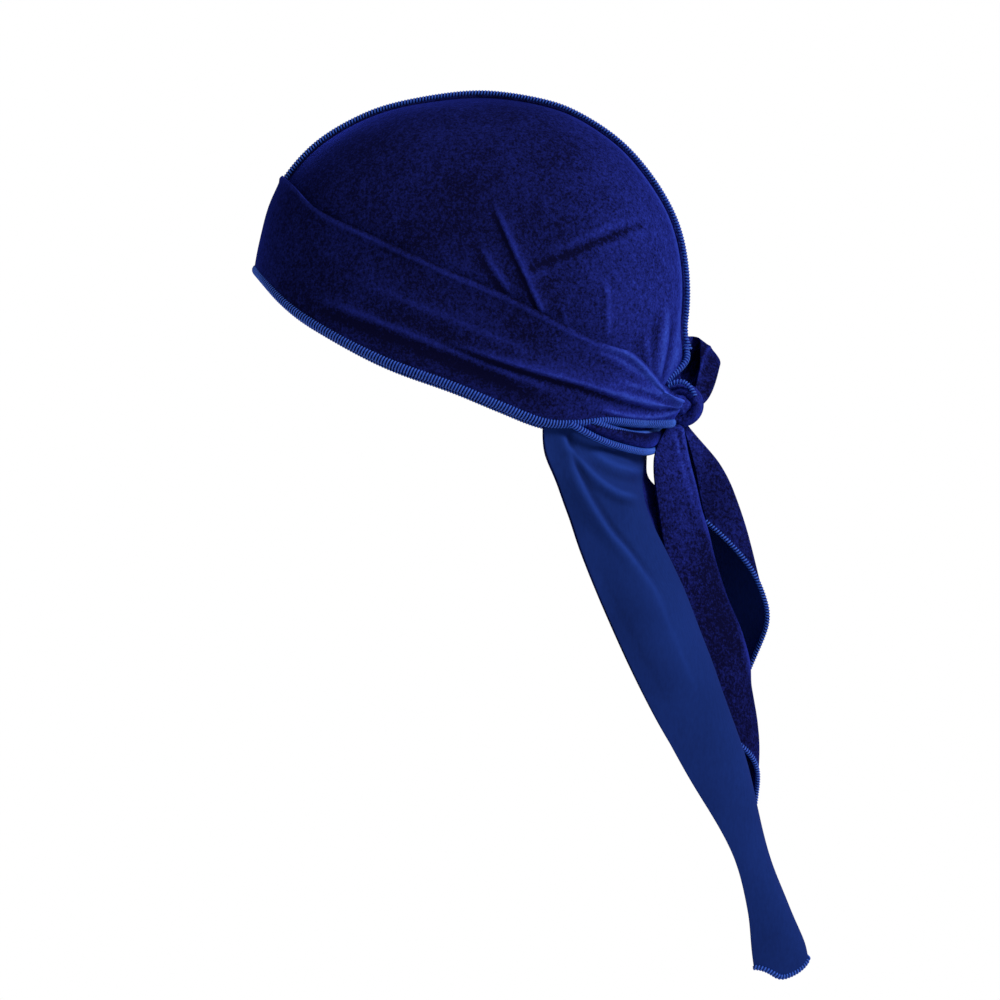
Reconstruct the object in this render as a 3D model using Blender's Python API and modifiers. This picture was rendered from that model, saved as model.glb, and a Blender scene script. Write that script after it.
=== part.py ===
"""A durag of stretch velvet, tied round the head: metres, +Z up, the brow toward -Y.

The origin is on the inside of the crown's top, where the head bears.
"""
import math
from bisect import bisect_right
from collections import namedtuple

import bmesh
import bpy
from mathutils import Vector

for leftover in list(bpy.data.objects):
    bpy.data.objects.remove(leftover)

# Cloth and clearances
CLOTH = 0.0012
BAND_CLOTH = 0.0020
GAP = 0.0003
BAND_GAP = 0.0007
PANEL_GAP = 0.0004
KNOT_GAP = 0.0009

# Crown
CROWN_LENGTH = 0.192
CROWN_BREADTH = 0.151
CROWN_HEIGHT = 0.160
CROWN_SQUARENESS = 2.25
SEAM_RADIUS = 0.00135
HEM_RADIUS = 0.0017
BAND_LIFT = 0.0065
BAND_LIFT_RUN = 0.12
FORK_RADIUS = 0.0012
FORK_LENGTH = 0.017
FORK_SPREAD = 0.010
FORK_CLEARANCE = 0.005
BULGE_HEIGHT = 0.006
BULGE_SPREAD = 0.008

# Knot and bow
KNOT_RADIUS = 0.0073
KNOT_STRAP = 0.0022
KNOT_HALF_WIDTH = 0.009
KNOT_CLEARANCE = 0.0012
WRAP_START = math.radians(125)
WRAP_END = math.radians(-110)
WRAP_TAPER = 0.25
CORE_TAPER = 0.35
LOOP_LENGTH = 0.052
LOOP_HEIGHT = 0.030
LOOP_BACK = 0.011
LOOP_FRONT = 0.006
LOOP_LEAN = 0.009
LOOP_STANDOFF = 0.002
LOOP_RISE = 0.0165
LOOP_ROOT = 0.0066
LOOP_START = math.radians(12)

# Lower strand beside the knot
ROLL_RADIUS = 0.0022
ROLL_SAG = 0.0115
ROLL_END = 0.012
ROLL_START = 0.60

# Tie ends
TIE_HEM_RADIUS = 0.0012
NEAR_TIE_LENGTH = 0.182
NEAR_TIE_CUT = 0.78
FAR_TIE_LENGTH = 0.120
FAR_TIE_CUT = 0.345
TIE_SPREAD = 0.030
TIE_REACH = 0.045

# Cape
CAPE_LENGTH = 0.240
CAPE_REACH = 0.125
CAPE_HALF_WIDTH = 0.068
CAPE_HEM_RADIUS = 0.0013
CAPE_CORNER = 0.010
CAPE_LOBE = 0.5
CAPE_INSET = 0.0014
CAPE_HANG = 0.03
CAPE_FREE = 0.23
CAPE_FRONT = 0.58
PUFF_HEIGHT = 0.005
PUFF_SPREAD = 0.010
PUFF_DOWN = 0.024

Section = namedtuple("Section", "ring drop front back middle breadth")
Edge = namedtuple("Edge", "along band_top hem rim")
Crease = namedtuple("Crease", "along_a drop_a along_b drop_b height spread")
Fold = namedtuple("Fold", "turn_a across_a turn_b across_b height spread")
Level = namedtuple("Level", "down front back width valley")
CapeFold = namedtuple("CapeFold", "along_a down_a along_b down_b height spread")
TieRow = namedtuple("TieRow", "down near_x near_y spine_x spine_y far_x far_y")

# Crown sections from the top down: shares of the height, of the length and of the breadth
CROWN_SECTIONS = [
    Section(0, 0.000, 0.000, 0.000, 0.000, 0.000),
    Section(1, 0.022, 0.153, 0.141, 0.005, 0.146),
    Section(2, 0.064, 0.270, 0.234, 0.010, 0.252),
    Section(3, 0.148, 0.384, 0.333, 0.020, 0.364),
    Section(4, 0.270, 0.466, 0.414, 0.030, 0.444),
    Section(5, 0.401, 0.502, 0.462, 0.040, 0.483),
    Section(6, 0.570, 0.523, 0.476, 0.042, 0.500),
    Section(7, 0.739, 0.521, 0.453, 0.042, 0.490),
    Section(8, 0.864, 0.518, 0.417, 0.042, 0.474),
    Section(9, 1.000, 0.510, 0.396, 0.042, 0.450),
    Section(10, 1.110, 0.500, 0.385, 0.042, 0.430),
]

# The band's upper edge, the hem's lower edge and the panels' lower edge, from brow to nape:
# shares of the crown's length and height
EDGES = [
    Edge(-0.521, 0.183, 0.492, 0.487),
    Edge(-0.448, 0.233, 0.592, 0.587),
    Edge(-0.370, 0.326, 0.659, 0.654),
    Edge(-0.224, 0.413, 0.754, 0.749),
    Edge(-0.057, 0.506, 0.828, 0.823),
    Edge(0.047, 0.559, 0.880, 0.875),
    Edge(0.146, 0.618, 0.926, 0.921),
    Edge(0.219, 0.664, 0.930, 0.937),
    Edge(0.281, 0.698, 0.922, 0.956),
    Edge(0.344, 0.722, 0.926, 0.974),
    Edge(0.385, 0.770, 0.926, 0.984),
    Edge(0.427, 0.823, 0.906, 0.984),
    Edge(0.464, 0.842, 0.888, 0.975),
]

# Creases of the crown: ends as shares of the crown's length and height, height and spread of its length
CREASES = [
    Crease(0.035, 0.307, 0.150, 0.600, 0.0070, 0.016),
    Crease(0.100, 0.480, 0.430, 0.325, -0.0045, 0.018),
    Crease(0.275, 0.500, 0.300, 0.660, 0.0035, 0.018),
    Crease(0.405, 0.560, 0.385, 0.740, 0.0055, 0.016),
]

# Folds of the brow band: turn from the brow as a share of the half turn, place across the band
# from its upper edge, height and spread as shares of the crown's length
BAND_FOLDS = [
    Fold(0.40, 0.66, 0.96, 0.70, 0.0090, 0.09),
    Fold(0.72, 0.30, 0.96, 0.35, 0.0070, 0.10),
]

# Levels of the cape below the crown's edge: shares of its length, of its reach and of its half width
CAPE_LEVELS = [
    Level(0.00, 0.240, 0.590, 1.00, 0.00),
    Level(0.04, 0.256, 0.580, 0.98, 0.00),
    Level(0.10, 0.288, 0.612, 0.96, 0.01),
    Level(0.20, 0.360, 0.675, 0.93, 0.05),
    Level(0.31, 0.446, 0.760, 0.90, 0.10),
    Level(0.45, 0.575, 0.862, 0.85, 0.13),
    Level(0.60, 0.728, 0.960, 0.78, 0.12),
    Level(0.75, 0.895, 1.030, 0.68, 0.09),
    Level(0.86, 0.960, 1.112, 0.60, 0.06),
    Level(0.94, 0.979, 1.174, 0.54, 0.04),
    Level(1.00, 1.020, 1.140, 0.50, 0.02),
]

# Folds of the cape in side view: ends as shares of its reach and length, height and spread of its reach
CAPE_FOLDS = [
    CapeFold(0.300, 0.00, 0.432, 0.16, 0.020, 0.050),
    CapeFold(0.432, 0.16, 0.655, 0.33, 0.020, 0.060),
    CapeFold(0.342, 0.03, 0.576, 0.12, 0.018, 0.045),
    CapeFold(0.612, 0.22, 0.810, 0.48, 0.014, 0.060),
]

# Levels of the near tie end: shares of its length, of the ties' spread and of their reach past the knot
NEAR_TIE = [
    TieRow(0.00, 0.30, -0.04, 0.22, 0.05, 0.10, 0.00),
    TieRow(0.08, 0.70, -0.25, 0.28, 0.08, 0.06, -0.10),
    TieRow(0.20, 0.92, -0.20, 0.36, 0.17, 0.06, -0.12),
    TieRow(0.36, 1.00, -0.07, 0.40, 0.34, 0.06, 0.02),
    TieRow(0.55, 1.00, 0.21, 0.42, 0.56, 0.06, 0.26),
    TieRow(0.75, 0.95, 0.51, 0.42, 0.77, 0.06, 0.50),
    TieRow(0.90, 0.90, 0.71, 0.40, 0.78, 0.06, 0.62),
    TieRow(1.00, 0.86, 0.74, 0.38, 0.79, 0.06, 0.68),
]

# Levels of the far tie end, in the same shares
FAR_TIE = [
    TieRow(0.00, -0.06, 0.00, -0.20, 0.05, -0.30, 0.00),
    TieRow(0.15, -0.06, 0.12, -0.34, 0.39, -0.70, 0.10),
    TieRow(0.35, -0.06, 0.25, -0.44, 0.63, -0.98, 0.18),
    TieRow(0.60, -0.06, 0.55, -0.50, 0.82, -1.10, 0.36),
    TieRow(0.72, -0.06, 0.66, -0.52, 0.89, -1.12, 0.46),
    TieRow(0.85, -0.06, 0.62, -0.52, 0.83, -1.12, 0.54),
    TieRow(1.00, -0.06, 0.58, -0.52, 0.72, -1.10, 0.60),
]

# Mesh density
RINGS = 11
TURNS = 28
BAND_TURNS = 56
BAND_ROWS = 7
SEAM_STEPS = 22
FORK_STEPS = 8
ROLL_STEPS = 12
WRAP_STEPS = 18
WRAP_SIDES = 10
LOOP_STEPS = 26
LOOP_COLUMNS = 5
TIE_ROWS = 16
TIE_COLUMNS = 9
CAPE_COLUMNS = 24
CAPE_ROWS = 18

# Step for slopes along the crown, in turns and rings, and halvings of each search
NORMAL_STEP = 0.02
SEARCH_ROUNDS = 24


def read(rows, key, column, where):
    """Value of a column at a place along the key column, on a smooth curve through the rows."""
    keys = [getattr(row, key) for row in rows]
    values = [getattr(row, column) for row in rows]
    where = min(max(where, keys[0]), keys[-1])
    low = min(bisect_right(keys, where), len(keys) - 1) - 1

    def slope(index):
        before = max(index - 1, 0)
        after = min(index + 1, len(keys) - 1)
        return (values[after] - values[before]) / (keys[after] - keys[before])

    span = keys[low + 1] - keys[low]
    share = (where - keys[low]) / span
    ease = share * share * (3 - 2 * share)
    lift = share * (1 - share) * span
    return (values[low] * (1 - ease) + values[low + 1] * ease
            + lift * ((1 - share) * slope(low) - share * slope(low + 1)))


def smooth(share):
    """Soft step from 0 to 1."""
    share = min(max(share, 0.0), 1.0)
    return share * share * (3 - 2 * share)


def bell(distance, spread):
    """Soft bump of height 1."""
    return math.exp(-(distance / spread) ** 2)


def mirrored_sections():
    """The crown's sections with one more beyond the top, so that the top is rounded."""
    first = CROWN_SECTIONS[1]
    beyond = Section(-1, first.drop, -first.front, -first.back, -first.middle, -first.breadth)
    return [beyond] + CROWN_SECTIONS


SECTIONS = mirrored_sections()


def crown_base(turn, ring):
    """Point of the smooth crown's outer face: turn from the brow to the nape, ring from the top down."""
    power = 2 / CROWN_SQUARENESS
    front = CROWN_LENGTH * read(SECTIONS, "ring", "front", ring)
    back = CROWN_LENGTH * read(SECTIONS, "ring", "back", ring)
    middle = CROWN_LENGTH * read(SECTIONS, "ring", "middle", ring)
    breadth = CROWN_BREADTH * read(SECTIONS, "ring", "breadth", ring)
    drop = CROWN_HEIGHT * read(SECTIONS, "ring", "drop", ring)
    ahead = math.cos(turn)
    aside = max(math.sin(turn), 0.0)
    if ahead > 0:
        along = middle - (front + middle) * ahead ** power
    else:
        along = middle + (back - middle) * (-ahead) ** power
    return Vector((breadth * aside ** power, along, CLOTH - drop))


def crown_normal(turn, ring):
    """Outward direction of the smooth crown."""
    step = NORMAL_STEP
    ring = max(ring, 2 * step)
    turn = min(max(turn, step), math.pi - step)
    around = crown_base(turn + step, ring) - crown_base(turn - step, ring)
    down = crown_base(turn, ring + step) - crown_base(turn, ring - step)
    normal = down.cross(around).normalized()
    if normal.dot(crown_base(turn, ring) - Vector((0, 0, -CROWN_HEIGHT / 2))) < 0:
        normal = -normal
    return normal


def edge_height(column, along):
    """Height of one of the edge lines at a place along the head."""
    return CLOTH - CROWN_HEIGHT * read(EDGES, "along", column, along / CROWN_LENGTH)


def edge_ring(turn, column):
    """Ring at which an edge line crosses the crown at a turn."""
    high = 1.0
    low = float(CROWN_SECTIONS[-1].ring)
    for _ in range(SEARCH_ROUNDS):
        middle = (high + low) / 2
        point = crown_base(turn, middle)
        if point.z > edge_height(column, point.y):
            high = middle
        else:
            low = middle
    return (high + low) / 2


def ring_above(turn, ring, distance):
    """Ring that lies a distance higher up the crown."""
    step = NORMAL_STEP
    length = (crown_base(turn, ring + step) - crown_base(turn, ring - step)).length / (2 * step)
    return ring - distance / length


def ring_at_height(turn, height):
    """Ring at which the smooth crown has a height at a turn."""
    high = 0.0
    low = float(CROWN_SECTIONS[-1].ring)
    for _ in range(SEARCH_ROUNDS):
        middle = (high + low) / 2
        if crown_base(turn, middle).z > height:
            high = middle
        else:
            low = middle
    return (high + low) / 2


def find_knot():
    """Centre of the knot, just clear of the crown's back at the height where the band arrives."""
    nape = CROWN_LENGTH / 2
    height = (edge_height("band_top", nape) + edge_height("hem", nape)) / 2
    back = crown_base(math.pi, ring_at_height(math.pi, height)).y
    return Vector((0, back + KNOT_RADIUS + KNOT_STRAP + KNOT_CLEARANCE, height))


KNOT = find_knot()
FORK_HEIGHT = KNOT.z + KNOT_RADIUS + FORK_CLEARANCE + FORK_LENGTH


def segment_distance(along, height, crease):
    """Distance to a crease in side view, and the share of the way along it."""
    start = (CROWN_LENGTH * crease.along_a, CLOTH - CROWN_HEIGHT * crease.drop_a)
    end = (CROWN_LENGTH * crease.along_b, CLOTH - CROWN_HEIGHT * crease.drop_b)
    run = (end[0] - start[0], end[1] - start[1])
    length = math.hypot(*run)
    share = ((along - start[0]) * run[0] + (height - start[1]) * run[1]) / length ** 2
    share = min(max(share, 0.0), 1.0)
    near = (start[0] + share * run[0], start[1] + share * run[1])
    return math.hypot(along - near[0], height - near[1]), share


def crown_relief(point):
    """Height of the creases, and of the cloth that bulges over the knot, above the smooth crown."""
    clear = smooth((point.z - edge_height("band_top", point.y)) / BULGE_SPREAD)
    relief = 0.0
    for crease in CREASES:
        distance, share = segment_distance(point.y, point.z, crease)
        taper = smooth(4 * share) * smooth(4 * (1 - share))
        relief += CROWN_LENGTH * crease.height * taper * bell(distance, CROWN_LENGTH * crease.spread)
    bulge = FORK_HEIGHT - BULGE_SPREAD
    if point.y > 0:
        relief += BULGE_HEIGHT * bell(point.x, 1.4 * BULGE_SPREAD) * bell(point.z - bulge, BULGE_SPREAD)
    return relief * clear


def crown_face(turn, ring, offset=0.0):
    """Point at an offset from the crown's outer face, on the wearer's left."""
    point = crown_base(turn, ring)
    return point + crown_normal(turn, ring) * (crown_relief(point) + offset)


def mirror(points):
    """The same points on the wearer's right."""
    return [Vector((-point.x, point.y, point.z)) for point in points]


def new_material(name, colour, roughness):
    """Plain cloth material."""
    material = bpy.data.materials.new(name)
    material.use_nodes = True
    shader = material.node_tree.nodes["Principled BSDF"]
    shader.inputs["Base Color"].default_value = (*colour, 1)
    shader.inputs["Roughness"].default_value = roughness
    shader.inputs["Metallic"].default_value = 0.0
    return material


def place(name, data, material):
    """Put an object with its material into the durag's collection."""
    item = bpy.data.objects.new(name, data)
    data.materials.append(material)
    parts.objects.link(item)
    return item


def sheet(name, grid, thickness, material, outward):
    """Cloth from a grid of points on its outer face, with Solidify inward; equal points are joined."""
    mesh = bpy.data.meshes.new(name)
    form = bmesh.new()
    rows = [[form.verts.new(point) for point in line] for line in grid]
    for upper, lower in zip(rows, rows[1:]):
        for column in range(len(upper) - 1):
            form.faces.new((upper[column], upper[column + 1], lower[column + 1], lower[column]))
    bmesh.ops.remove_doubles(form, verts=form.verts, dist=0.00001)
    form.normal_update()
    middle = form.faces[:][len(form.faces) // 2]
    if middle.normal.dot(outward(middle.calc_center_median())) < 0:
        bmesh.ops.reverse_faces(form, faces=form.faces)
    form.to_mesh(mesh)
    form.free()
    mesh.shade_smooth()
    item = place(name, mesh, material)
    wall = item.modifiers.new("Wall", "SOLIDIFY")
    wall.thickness = thickness
    wall.offset = -1
    wall.use_even_offset = True
    wall.use_quality_normals = True
    return item


def tube(name, points, radius, material):
    """Round cord through the points."""
    curve = bpy.data.curves.new(name, "CURVE")
    curve.dimensions = "3D"
    curve.bevel_depth = radius
    curve.bevel_resolution = 1
    curve.use_fill_caps = True
    spline = curve.splines.new("POLY")
    spline.points.add(len(points) - 1)
    for control, point in zip(spline.points, points):
        control.co = (*point, 1)
    return place(name, curve, material)


def loft(name, loops, material):
    """Closed body through loops of equal count, capped at both ends."""
    mesh = bpy.data.meshes.new(name)
    form = bmesh.new()
    rings = [[form.verts.new(point) for point in loop] for loop in loops]
    count = len(rings[0])
    for first, second in zip(rings, rings[1:]):
        for index in range(count):
            after = (index + 1) % count
            form.faces.new((first[index], first[after], second[after], second[index]))
    form.faces.new(rings[0])
    form.faces.new(list(reversed(rings[-1])))
    bmesh.ops.recalc_face_normals(form, faces=form.faces)
    form.to_mesh(mesh)
    form.free()
    mesh.shade_smooth()
    return place(name, mesh, material)


def away_from_head(point):
    """Direction from the middle of the head."""
    return point - Vector((0, 0, -CROWN_HEIGHT / 2))


def build_crown(side, name, material):
    """One side panel: rings from its lower edge to the top, from the brow to the nape."""
    grid = []
    for row in range(RINGS + 1):
        share = row / RINGS
        line = []
        for column in range(TURNS + 1):
            turn = math.pi * column / TURNS
            point = crown_face(turn, edge_ring(turn, "rim") * share)
            line.append(Vector((side * (point.x + PANEL_GAP / 2), point.y, point.z)))
        grid.append(line)
    sheet(name, grid, CLOTH, material, away_from_head)


def build_seam(material):
    """Ridge over the top, from the band to the fork."""
    offset = GAP + SEAM_RADIUS
    brow = ring_above(0, edge_ring(0, "band_top"), 2 * SEAM_RADIUS)
    nape = ring_at_height(math.pi, FORK_HEIGHT)
    steps = SEAM_STEPS
    front = [crown_face(0, brow * (1 - step / steps), offset) for step in range(steps)]
    back = [crown_face(math.pi, nape * step / steps, offset) for step in range(steps + 1)]
    line = [Vector((0, point.y, point.z)) for point in front + back]
    tube("centre_seam", line, SEAM_RADIUS, material)


def build_fork(material):
    """The two stitched edges that part below the seam and run down to the knot."""
    offset = 3 * GAP + FORK_RADIUS
    apex = FORK_HEIGHT - SEAM_RADIUS - FORK_RADIUS - GAP
    left = []
    for step in range(FORK_STEPS):
        share = step / (FORK_STEPS - 1)
        aside = FORK_RADIUS + (FORK_SPREAD - FORK_RADIUS) * share
        left.append(back_point(aside, apex - FORK_LENGTH * share, offset))
    line = list(reversed(mirror(left))) + left
    tube("seam_fork", line, FORK_RADIUS, material)


def turn_aside(aside, height):
    """Turn at which the crown's back is a distance from the middle at a height."""
    near = math.pi
    far = math.pi / 2
    for _ in range(SEARCH_ROUNDS):
        turn = (near + far) / 2
        if crown_base(turn, ring_at_height(turn, height)).x < aside:
            near = turn
        else:
            far = turn
    return (near + far) / 2


def back_point(aside, height, offset):
    """Point over the crown's back at a distance from the middle and a height."""
    turn = turn_aside(aside, height)
    return crown_face(turn, ring_at_height(turn, height), offset)


BAND_END = turn_aside(KNOT_HALF_WIDTH + 2 * KNOT_GAP, KNOT.z)


def knot_lift(turn):
    """How far the band leaves the crown to reach the middle of the knot."""
    return BAND_LIFT * smooth(1 - (BAND_END - turn) / (BAND_LIFT_RUN * math.pi))


def signed_turns(count):
    """Turns from the knot on the right, round the brow, to the knot on the left."""
    return [BAND_END * (2 * step / count - 1) for step in range(count + 1)]


def face_both_sides(turn, ring, offset):
    """Point over the crown at a turn that is negative on the wearer's right."""
    point = crown_face(abs(turn), ring, offset)
    return Vector((math.copysign(1, turn) * point.x, point.y, point.z))


def build_hem(material):
    """Overlocked edge round the brow and along the band to the knot."""
    line = []
    for turn in signed_turns(BAND_TURNS):
        ring = ring_above(abs(turn), edge_ring(abs(turn), "hem"), HEM_RADIUS)
        line.append(face_both_sides(turn, ring, GAP + HEM_RADIUS + knot_lift(abs(turn))))
    tube("crown_hem", line, HEM_RADIUS, material)


def band_relief(turn, across):
    """Height of the band's folds."""
    relief = 0.0
    share = abs(turn) / math.pi
    for fold in BAND_FOLDS:
        way = (share - fold.turn_a) / (fold.turn_b - fold.turn_a)
        place_across = fold.across_a + (fold.across_b - fold.across_a) * min(max(way, 0.0), 1.0)
        rise = smooth(3 * way)
        relief += CROWN_LENGTH * fold.height * rise * bell(across - place_across, fold.spread)
    return relief


def build_band(material):
    """Doubled tie round the brow, from one side of the knot to the other."""
    grid = []
    for row in range(BAND_ROWS + 1):
        across = row / BAND_ROWS
        line = []
        for turn in signed_turns(BAND_TURNS):
            upper = edge_ring(abs(turn), "band_top")
            hem = edge_ring(abs(turn), "hem")
            lower = ring_above(abs(turn), hem, 2 * HEM_RADIUS + GAP)
            ring = upper + (lower - upper) * across
            offset = BAND_GAP + BAND_CLOTH + band_relief(turn, across) + knot_lift(abs(turn))
            line.append(face_both_sides(turn, ring, offset))
        grid.append(line)
    sheet("brow_band", grid, BAND_CLOTH, material, away_from_head)


def build_rolls(material):
    """Rolled strand on each side, sagging from the hem behind the ear and rising to the knot."""
    first = ROLL_START * math.pi
    last = turn_aside(KNOT_HALF_WIDTH + ROLL_END, KNOT.z)
    line = []
    for step in range(ROLL_STEPS + 1):
        share = step / ROLL_STEPS
        turn = first + (last - first) * share
        hem = edge_ring(turn, "hem")
        below = HEM_RADIUS * 2 + ROLL_RADIUS + ROLL_SAG * math.sin(math.pi * share) ** 0.8
        ring = ring_above(turn, hem, HEM_RADIUS - below)
        line.append(crown_face(turn, ring, GAP + ROLL_RADIUS + knot_lift(turn)))
    tube("nape_roll_left", line, ROLL_RADIUS, material)
    tube("nape_roll_right", mirror(line), ROLL_RADIUS, material)


def build_knot(material):
    """Strap turned over the strands, and the strands inside it."""
    sides = WRAP_SIDES
    loops = []
    for step in range(WRAP_STEPS + 1):
        share = step / WRAP_STEPS
        angle = WRAP_START + (WRAP_END - WRAP_START) * share
        outward = Vector((0, math.cos(angle), math.sin(angle)))
        width = KNOT_HALF_WIDTH * (1 - WRAP_TAPER * (1 - math.sin(math.pi * share)))
        loop = []
        for side in range(sides):
            around = 2 * math.pi * side / sides
            loop.append(KNOT + outward * (KNOT_RADIUS + KNOT_STRAP * math.cos(around))
                        + Vector((width * math.sin(around), 0, 0)))
        loops.append(loop)
    loft("knot_wrap", loops, material)

    inside = KNOT_RADIUS - KNOT_STRAP - GAP
    loops = []
    for share in (-1.0, -0.7, 0.0, 0.7, 1.0):
        radius = inside * (1 - CORE_TAPER * abs(share) ** 3)
        aside = KNOT_HALF_WIDTH * share
        loops.append([KNOT + Vector((aside, radius * math.cos(2 * math.pi * side / sides),
                                       radius * math.sin(2 * math.pi * side / sides)))
                      for side in range(sides)])
    loft("knot_core", loops, material)


def build_loop(material):
    """Ear of the bow: a strip that leaves the knot, turns back at its tip and returns."""
    root = (1 - math.cos(LOOP_START)) / 2
    grid = []
    for step in range(LOOP_STEPS + 1):
        share = step / LOOP_STEPS
        angle = LOOP_START + (2 * math.pi - 2 * LOOP_START) * share
        out = (1 - math.cos(angle)) / 2
        swell = math.sqrt(math.sin(math.pi * share))
        depth = LOOP_BACK if share < 0.5 else LOOP_FRONT
        aside = -(KNOT_HALF_WIDTH + KNOT_GAP) - LOOP_LENGTH * (out - root)
        behind = LOOP_STANDOFF + depth * math.sin(angle) + LOOP_LEAN * out
        width = LOOP_ROOT + (LOOP_HEIGHT - LOOP_ROOT) * swell
        line = []
        for column in range(LOOP_COLUMNS + 1):
            across = column / LOOP_COLUMNS - 0.5
            line.append(KNOT + Vector((aside, behind, LOOP_RISE * out + width * across)))
        grid.append(line)
    hub = KNOT + Vector((-KNOT_HALF_WIDTH - LOOP_LENGTH / 2, LOOP_STANDOFF + LOOP_LEAN / 2, 0))

    def away_from_hub(point):
        return Vector((point.x - hub.x, point.y - hub.y, 0))

    sheet("bow_loop", grid, CLOTH, material, away_from_hub)


def hem_line(grid, distance, outward):
    """Line beyond a sheet's last row, in its plane and at the middle of its wall."""
    edge = grid[-1]
    before = grid[-2]
    line = []
    for index, point in enumerate(edge):
        along = (edge[min(index + 1, len(edge) - 1)] - edge[max(index - 1, 0)]).normalized()
        down = point - before[index]
        beyond = (down - along * down.dot(along)).normalized()
        normal = along.cross(beyond)
        if normal.dot(outward(point)) < 0:
            normal = -normal
        line.append(point + beyond * distance - normal * CLOTH / 2)
    return line


def tie_point(rows, length, down, across):
    """Point of a folded tie end: down its length, across from the near edge by the spine to the far edge."""
    near = (read(rows, "down", "near_x", down), read(rows, "down", "near_y", down))
    spine = (read(rows, "down", "spine_x", down), read(rows, "down", "spine_y", down))
    far = (read(rows, "down", "far_x", down), read(rows, "down", "far_y", down))
    first = (1 - across) ** 2
    second = 2 * across * (1 - across)
    third = across ** 2
    reach = (2 * spine[0] - (near[0] + far[0]) / 2, 2 * spine[1] - (near[1] + far[1]) / 2)
    aside = first * near[0] + second * reach[0] + third * far[0]
    behind = first * near[1] + second * reach[1] + third * far[1]
    top = KNOT_RADIUS + KNOT_STRAP + GAP
    return Vector((TIE_SPREAD * aside, KNOT.y + TIE_REACH * behind, KNOT.z - top - length * down))


def build_tie(name, rows, length, shortest, material, hem_material):
    """Tie end folded lengthwise and cut on a slant, with the overlock along the cut."""
    grid = []
    for row in range(TIE_ROWS + 1):
        line = []
        for column in range(TIE_COLUMNS + 1):
            across = column / TIE_COLUMNS
            end = shortest + (1 - shortest) * across
            line.append(tie_point(rows, length, end * row / TIE_ROWS, across))
        grid.append(line)

    def backward(point):
        return Vector((0, 1, 0))

    sheet(name, grid, CLOTH, material, backward)
    line = hem_line(grid, TIE_HEM_RADIUS + GAP, backward)
    tube(name + "_hem", line, TIE_HEM_RADIUS, hem_material)


def cape_turn(share):
    """Turn at which a column of the cape hangs from the crown: 0 at the back, 1 behind the ear."""
    return math.pi * (1 - share * (1 - CAPE_FRONT))


def cape_top(share):
    """Point of the crown's lower edge above a column of the cape."""
    turn = cape_turn(share)
    return crown_face(turn, edge_ring(turn, "rim"), -CAPE_INSET)


CAPE_START = cape_top(0).z


def cape_relief(along, level):
    """Height of the cape's folds at a place in side view."""
    relief = 0.0
    for fold in CAPE_FOLDS:
        run = (fold.along_b - fold.along_a, (fold.down_b - fold.down_a) * CAPE_LENGTH / CAPE_REACH)
        offset = (along / CAPE_REACH - fold.along_a, (level - fold.down_a) * CAPE_LENGTH / CAPE_REACH)
        share = (offset[0] * run[0] + offset[1] * run[1]) / (run[0] ** 2 + run[1] ** 2)
        share = min(max(share, 0.0), 1.0)
        distance = math.hypot(offset[0] - share * run[0], offset[1] - share * run[1])
        taper = smooth(3 * share) * smooth(3 * (1 - share))
        relief += CAPE_REACH * fold.height * taper * bell(distance, fold.spread)
    return relief


def cape_point(side, share, down):
    """Point of the cape at a side: across from the back to its side edge, and down."""
    top = cape_top(share)
    corner = smooth((share - 1) / (1 - CAPE_LOBE) * 2 + 1) ** 2
    lowest = top.z - GAP
    end = CAPE_START - CAPE_LENGTH + CAPE_CORNER * corner
    height = lowest + (end - lowest) * down
    level = min(max((CAPE_START - height) / CAPE_LENGTH, 0.0), 1.0)
    front = CAPE_REACH * read(CAPE_LEVELS, "down", "front", level)
    back = CAPE_REACH * read(CAPE_LEVELS, "down", "back", level)
    half = CAPE_HALF_WIDTH * read(CAPE_LEVELS, "down", "width", level)
    valley = CAPE_REACH * read(CAPE_LEVELS, "down", "valley", level)
    if share > CAPE_LOBE:
        along = back - (back - front) * ((share - CAPE_LOBE) / (1 - CAPE_LOBE)) ** 2
    else:
        along = back - valley * smooth(1 - share / CAPE_LOBE)
    quarter = share * math.pi / 2
    outward = Vector((math.sin(quarter), math.cos(quarter), 0))
    free = Vector((half * math.sin(quarter), along, height)) + outward * cape_relief(along, level)
    hang = Vector((top.x, top.y, height))
    point = hang.lerp(free, smooth((level - CAPE_HANG) / (CAPE_FREE - CAPE_HANG)))
    point.x *= side
    puff = bell(point.x + PUFF_SPREAD, PUFF_SPREAD) * bell(CAPE_START - PUFF_DOWN - height, PUFF_SPREAD)
    point.y += PUFF_HEIGHT * puff
    return point


def build_cape(material, hem_material):
    """Flap from the crown's back edge, with its rounded end overlocked."""
    grid = []
    for row in range(CAPE_ROWS + 1):
        down = row / CAPE_ROWS
        line = []
        for column in range(CAPE_COLUMNS + 1):
            share = 2 * column / CAPE_COLUMNS - 1
            line.append(cape_point(math.copysign(1, share), abs(share), down))
        grid.append(line)
    sheet("cape", grid, CLOTH, material, away_from_head)
    line = hem_line(grid, CAPE_HEM_RADIUS + GAP, away_from_head)
    tube("cape_hem", line, CAPE_HEM_RADIUS, hem_material)


parts = bpy.data.collections.new("durag")
bpy.context.scene.collection.children.link(parts)

velvet = new_material("velvet", (0.010, 0.012, 0.16), 0.85)
wrong_side = new_material("wrong_side", (0.012, 0.040, 0.22), 0.9)
overlock = new_material("overlock", (0.020, 0.070, 0.40), 0.8)

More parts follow.
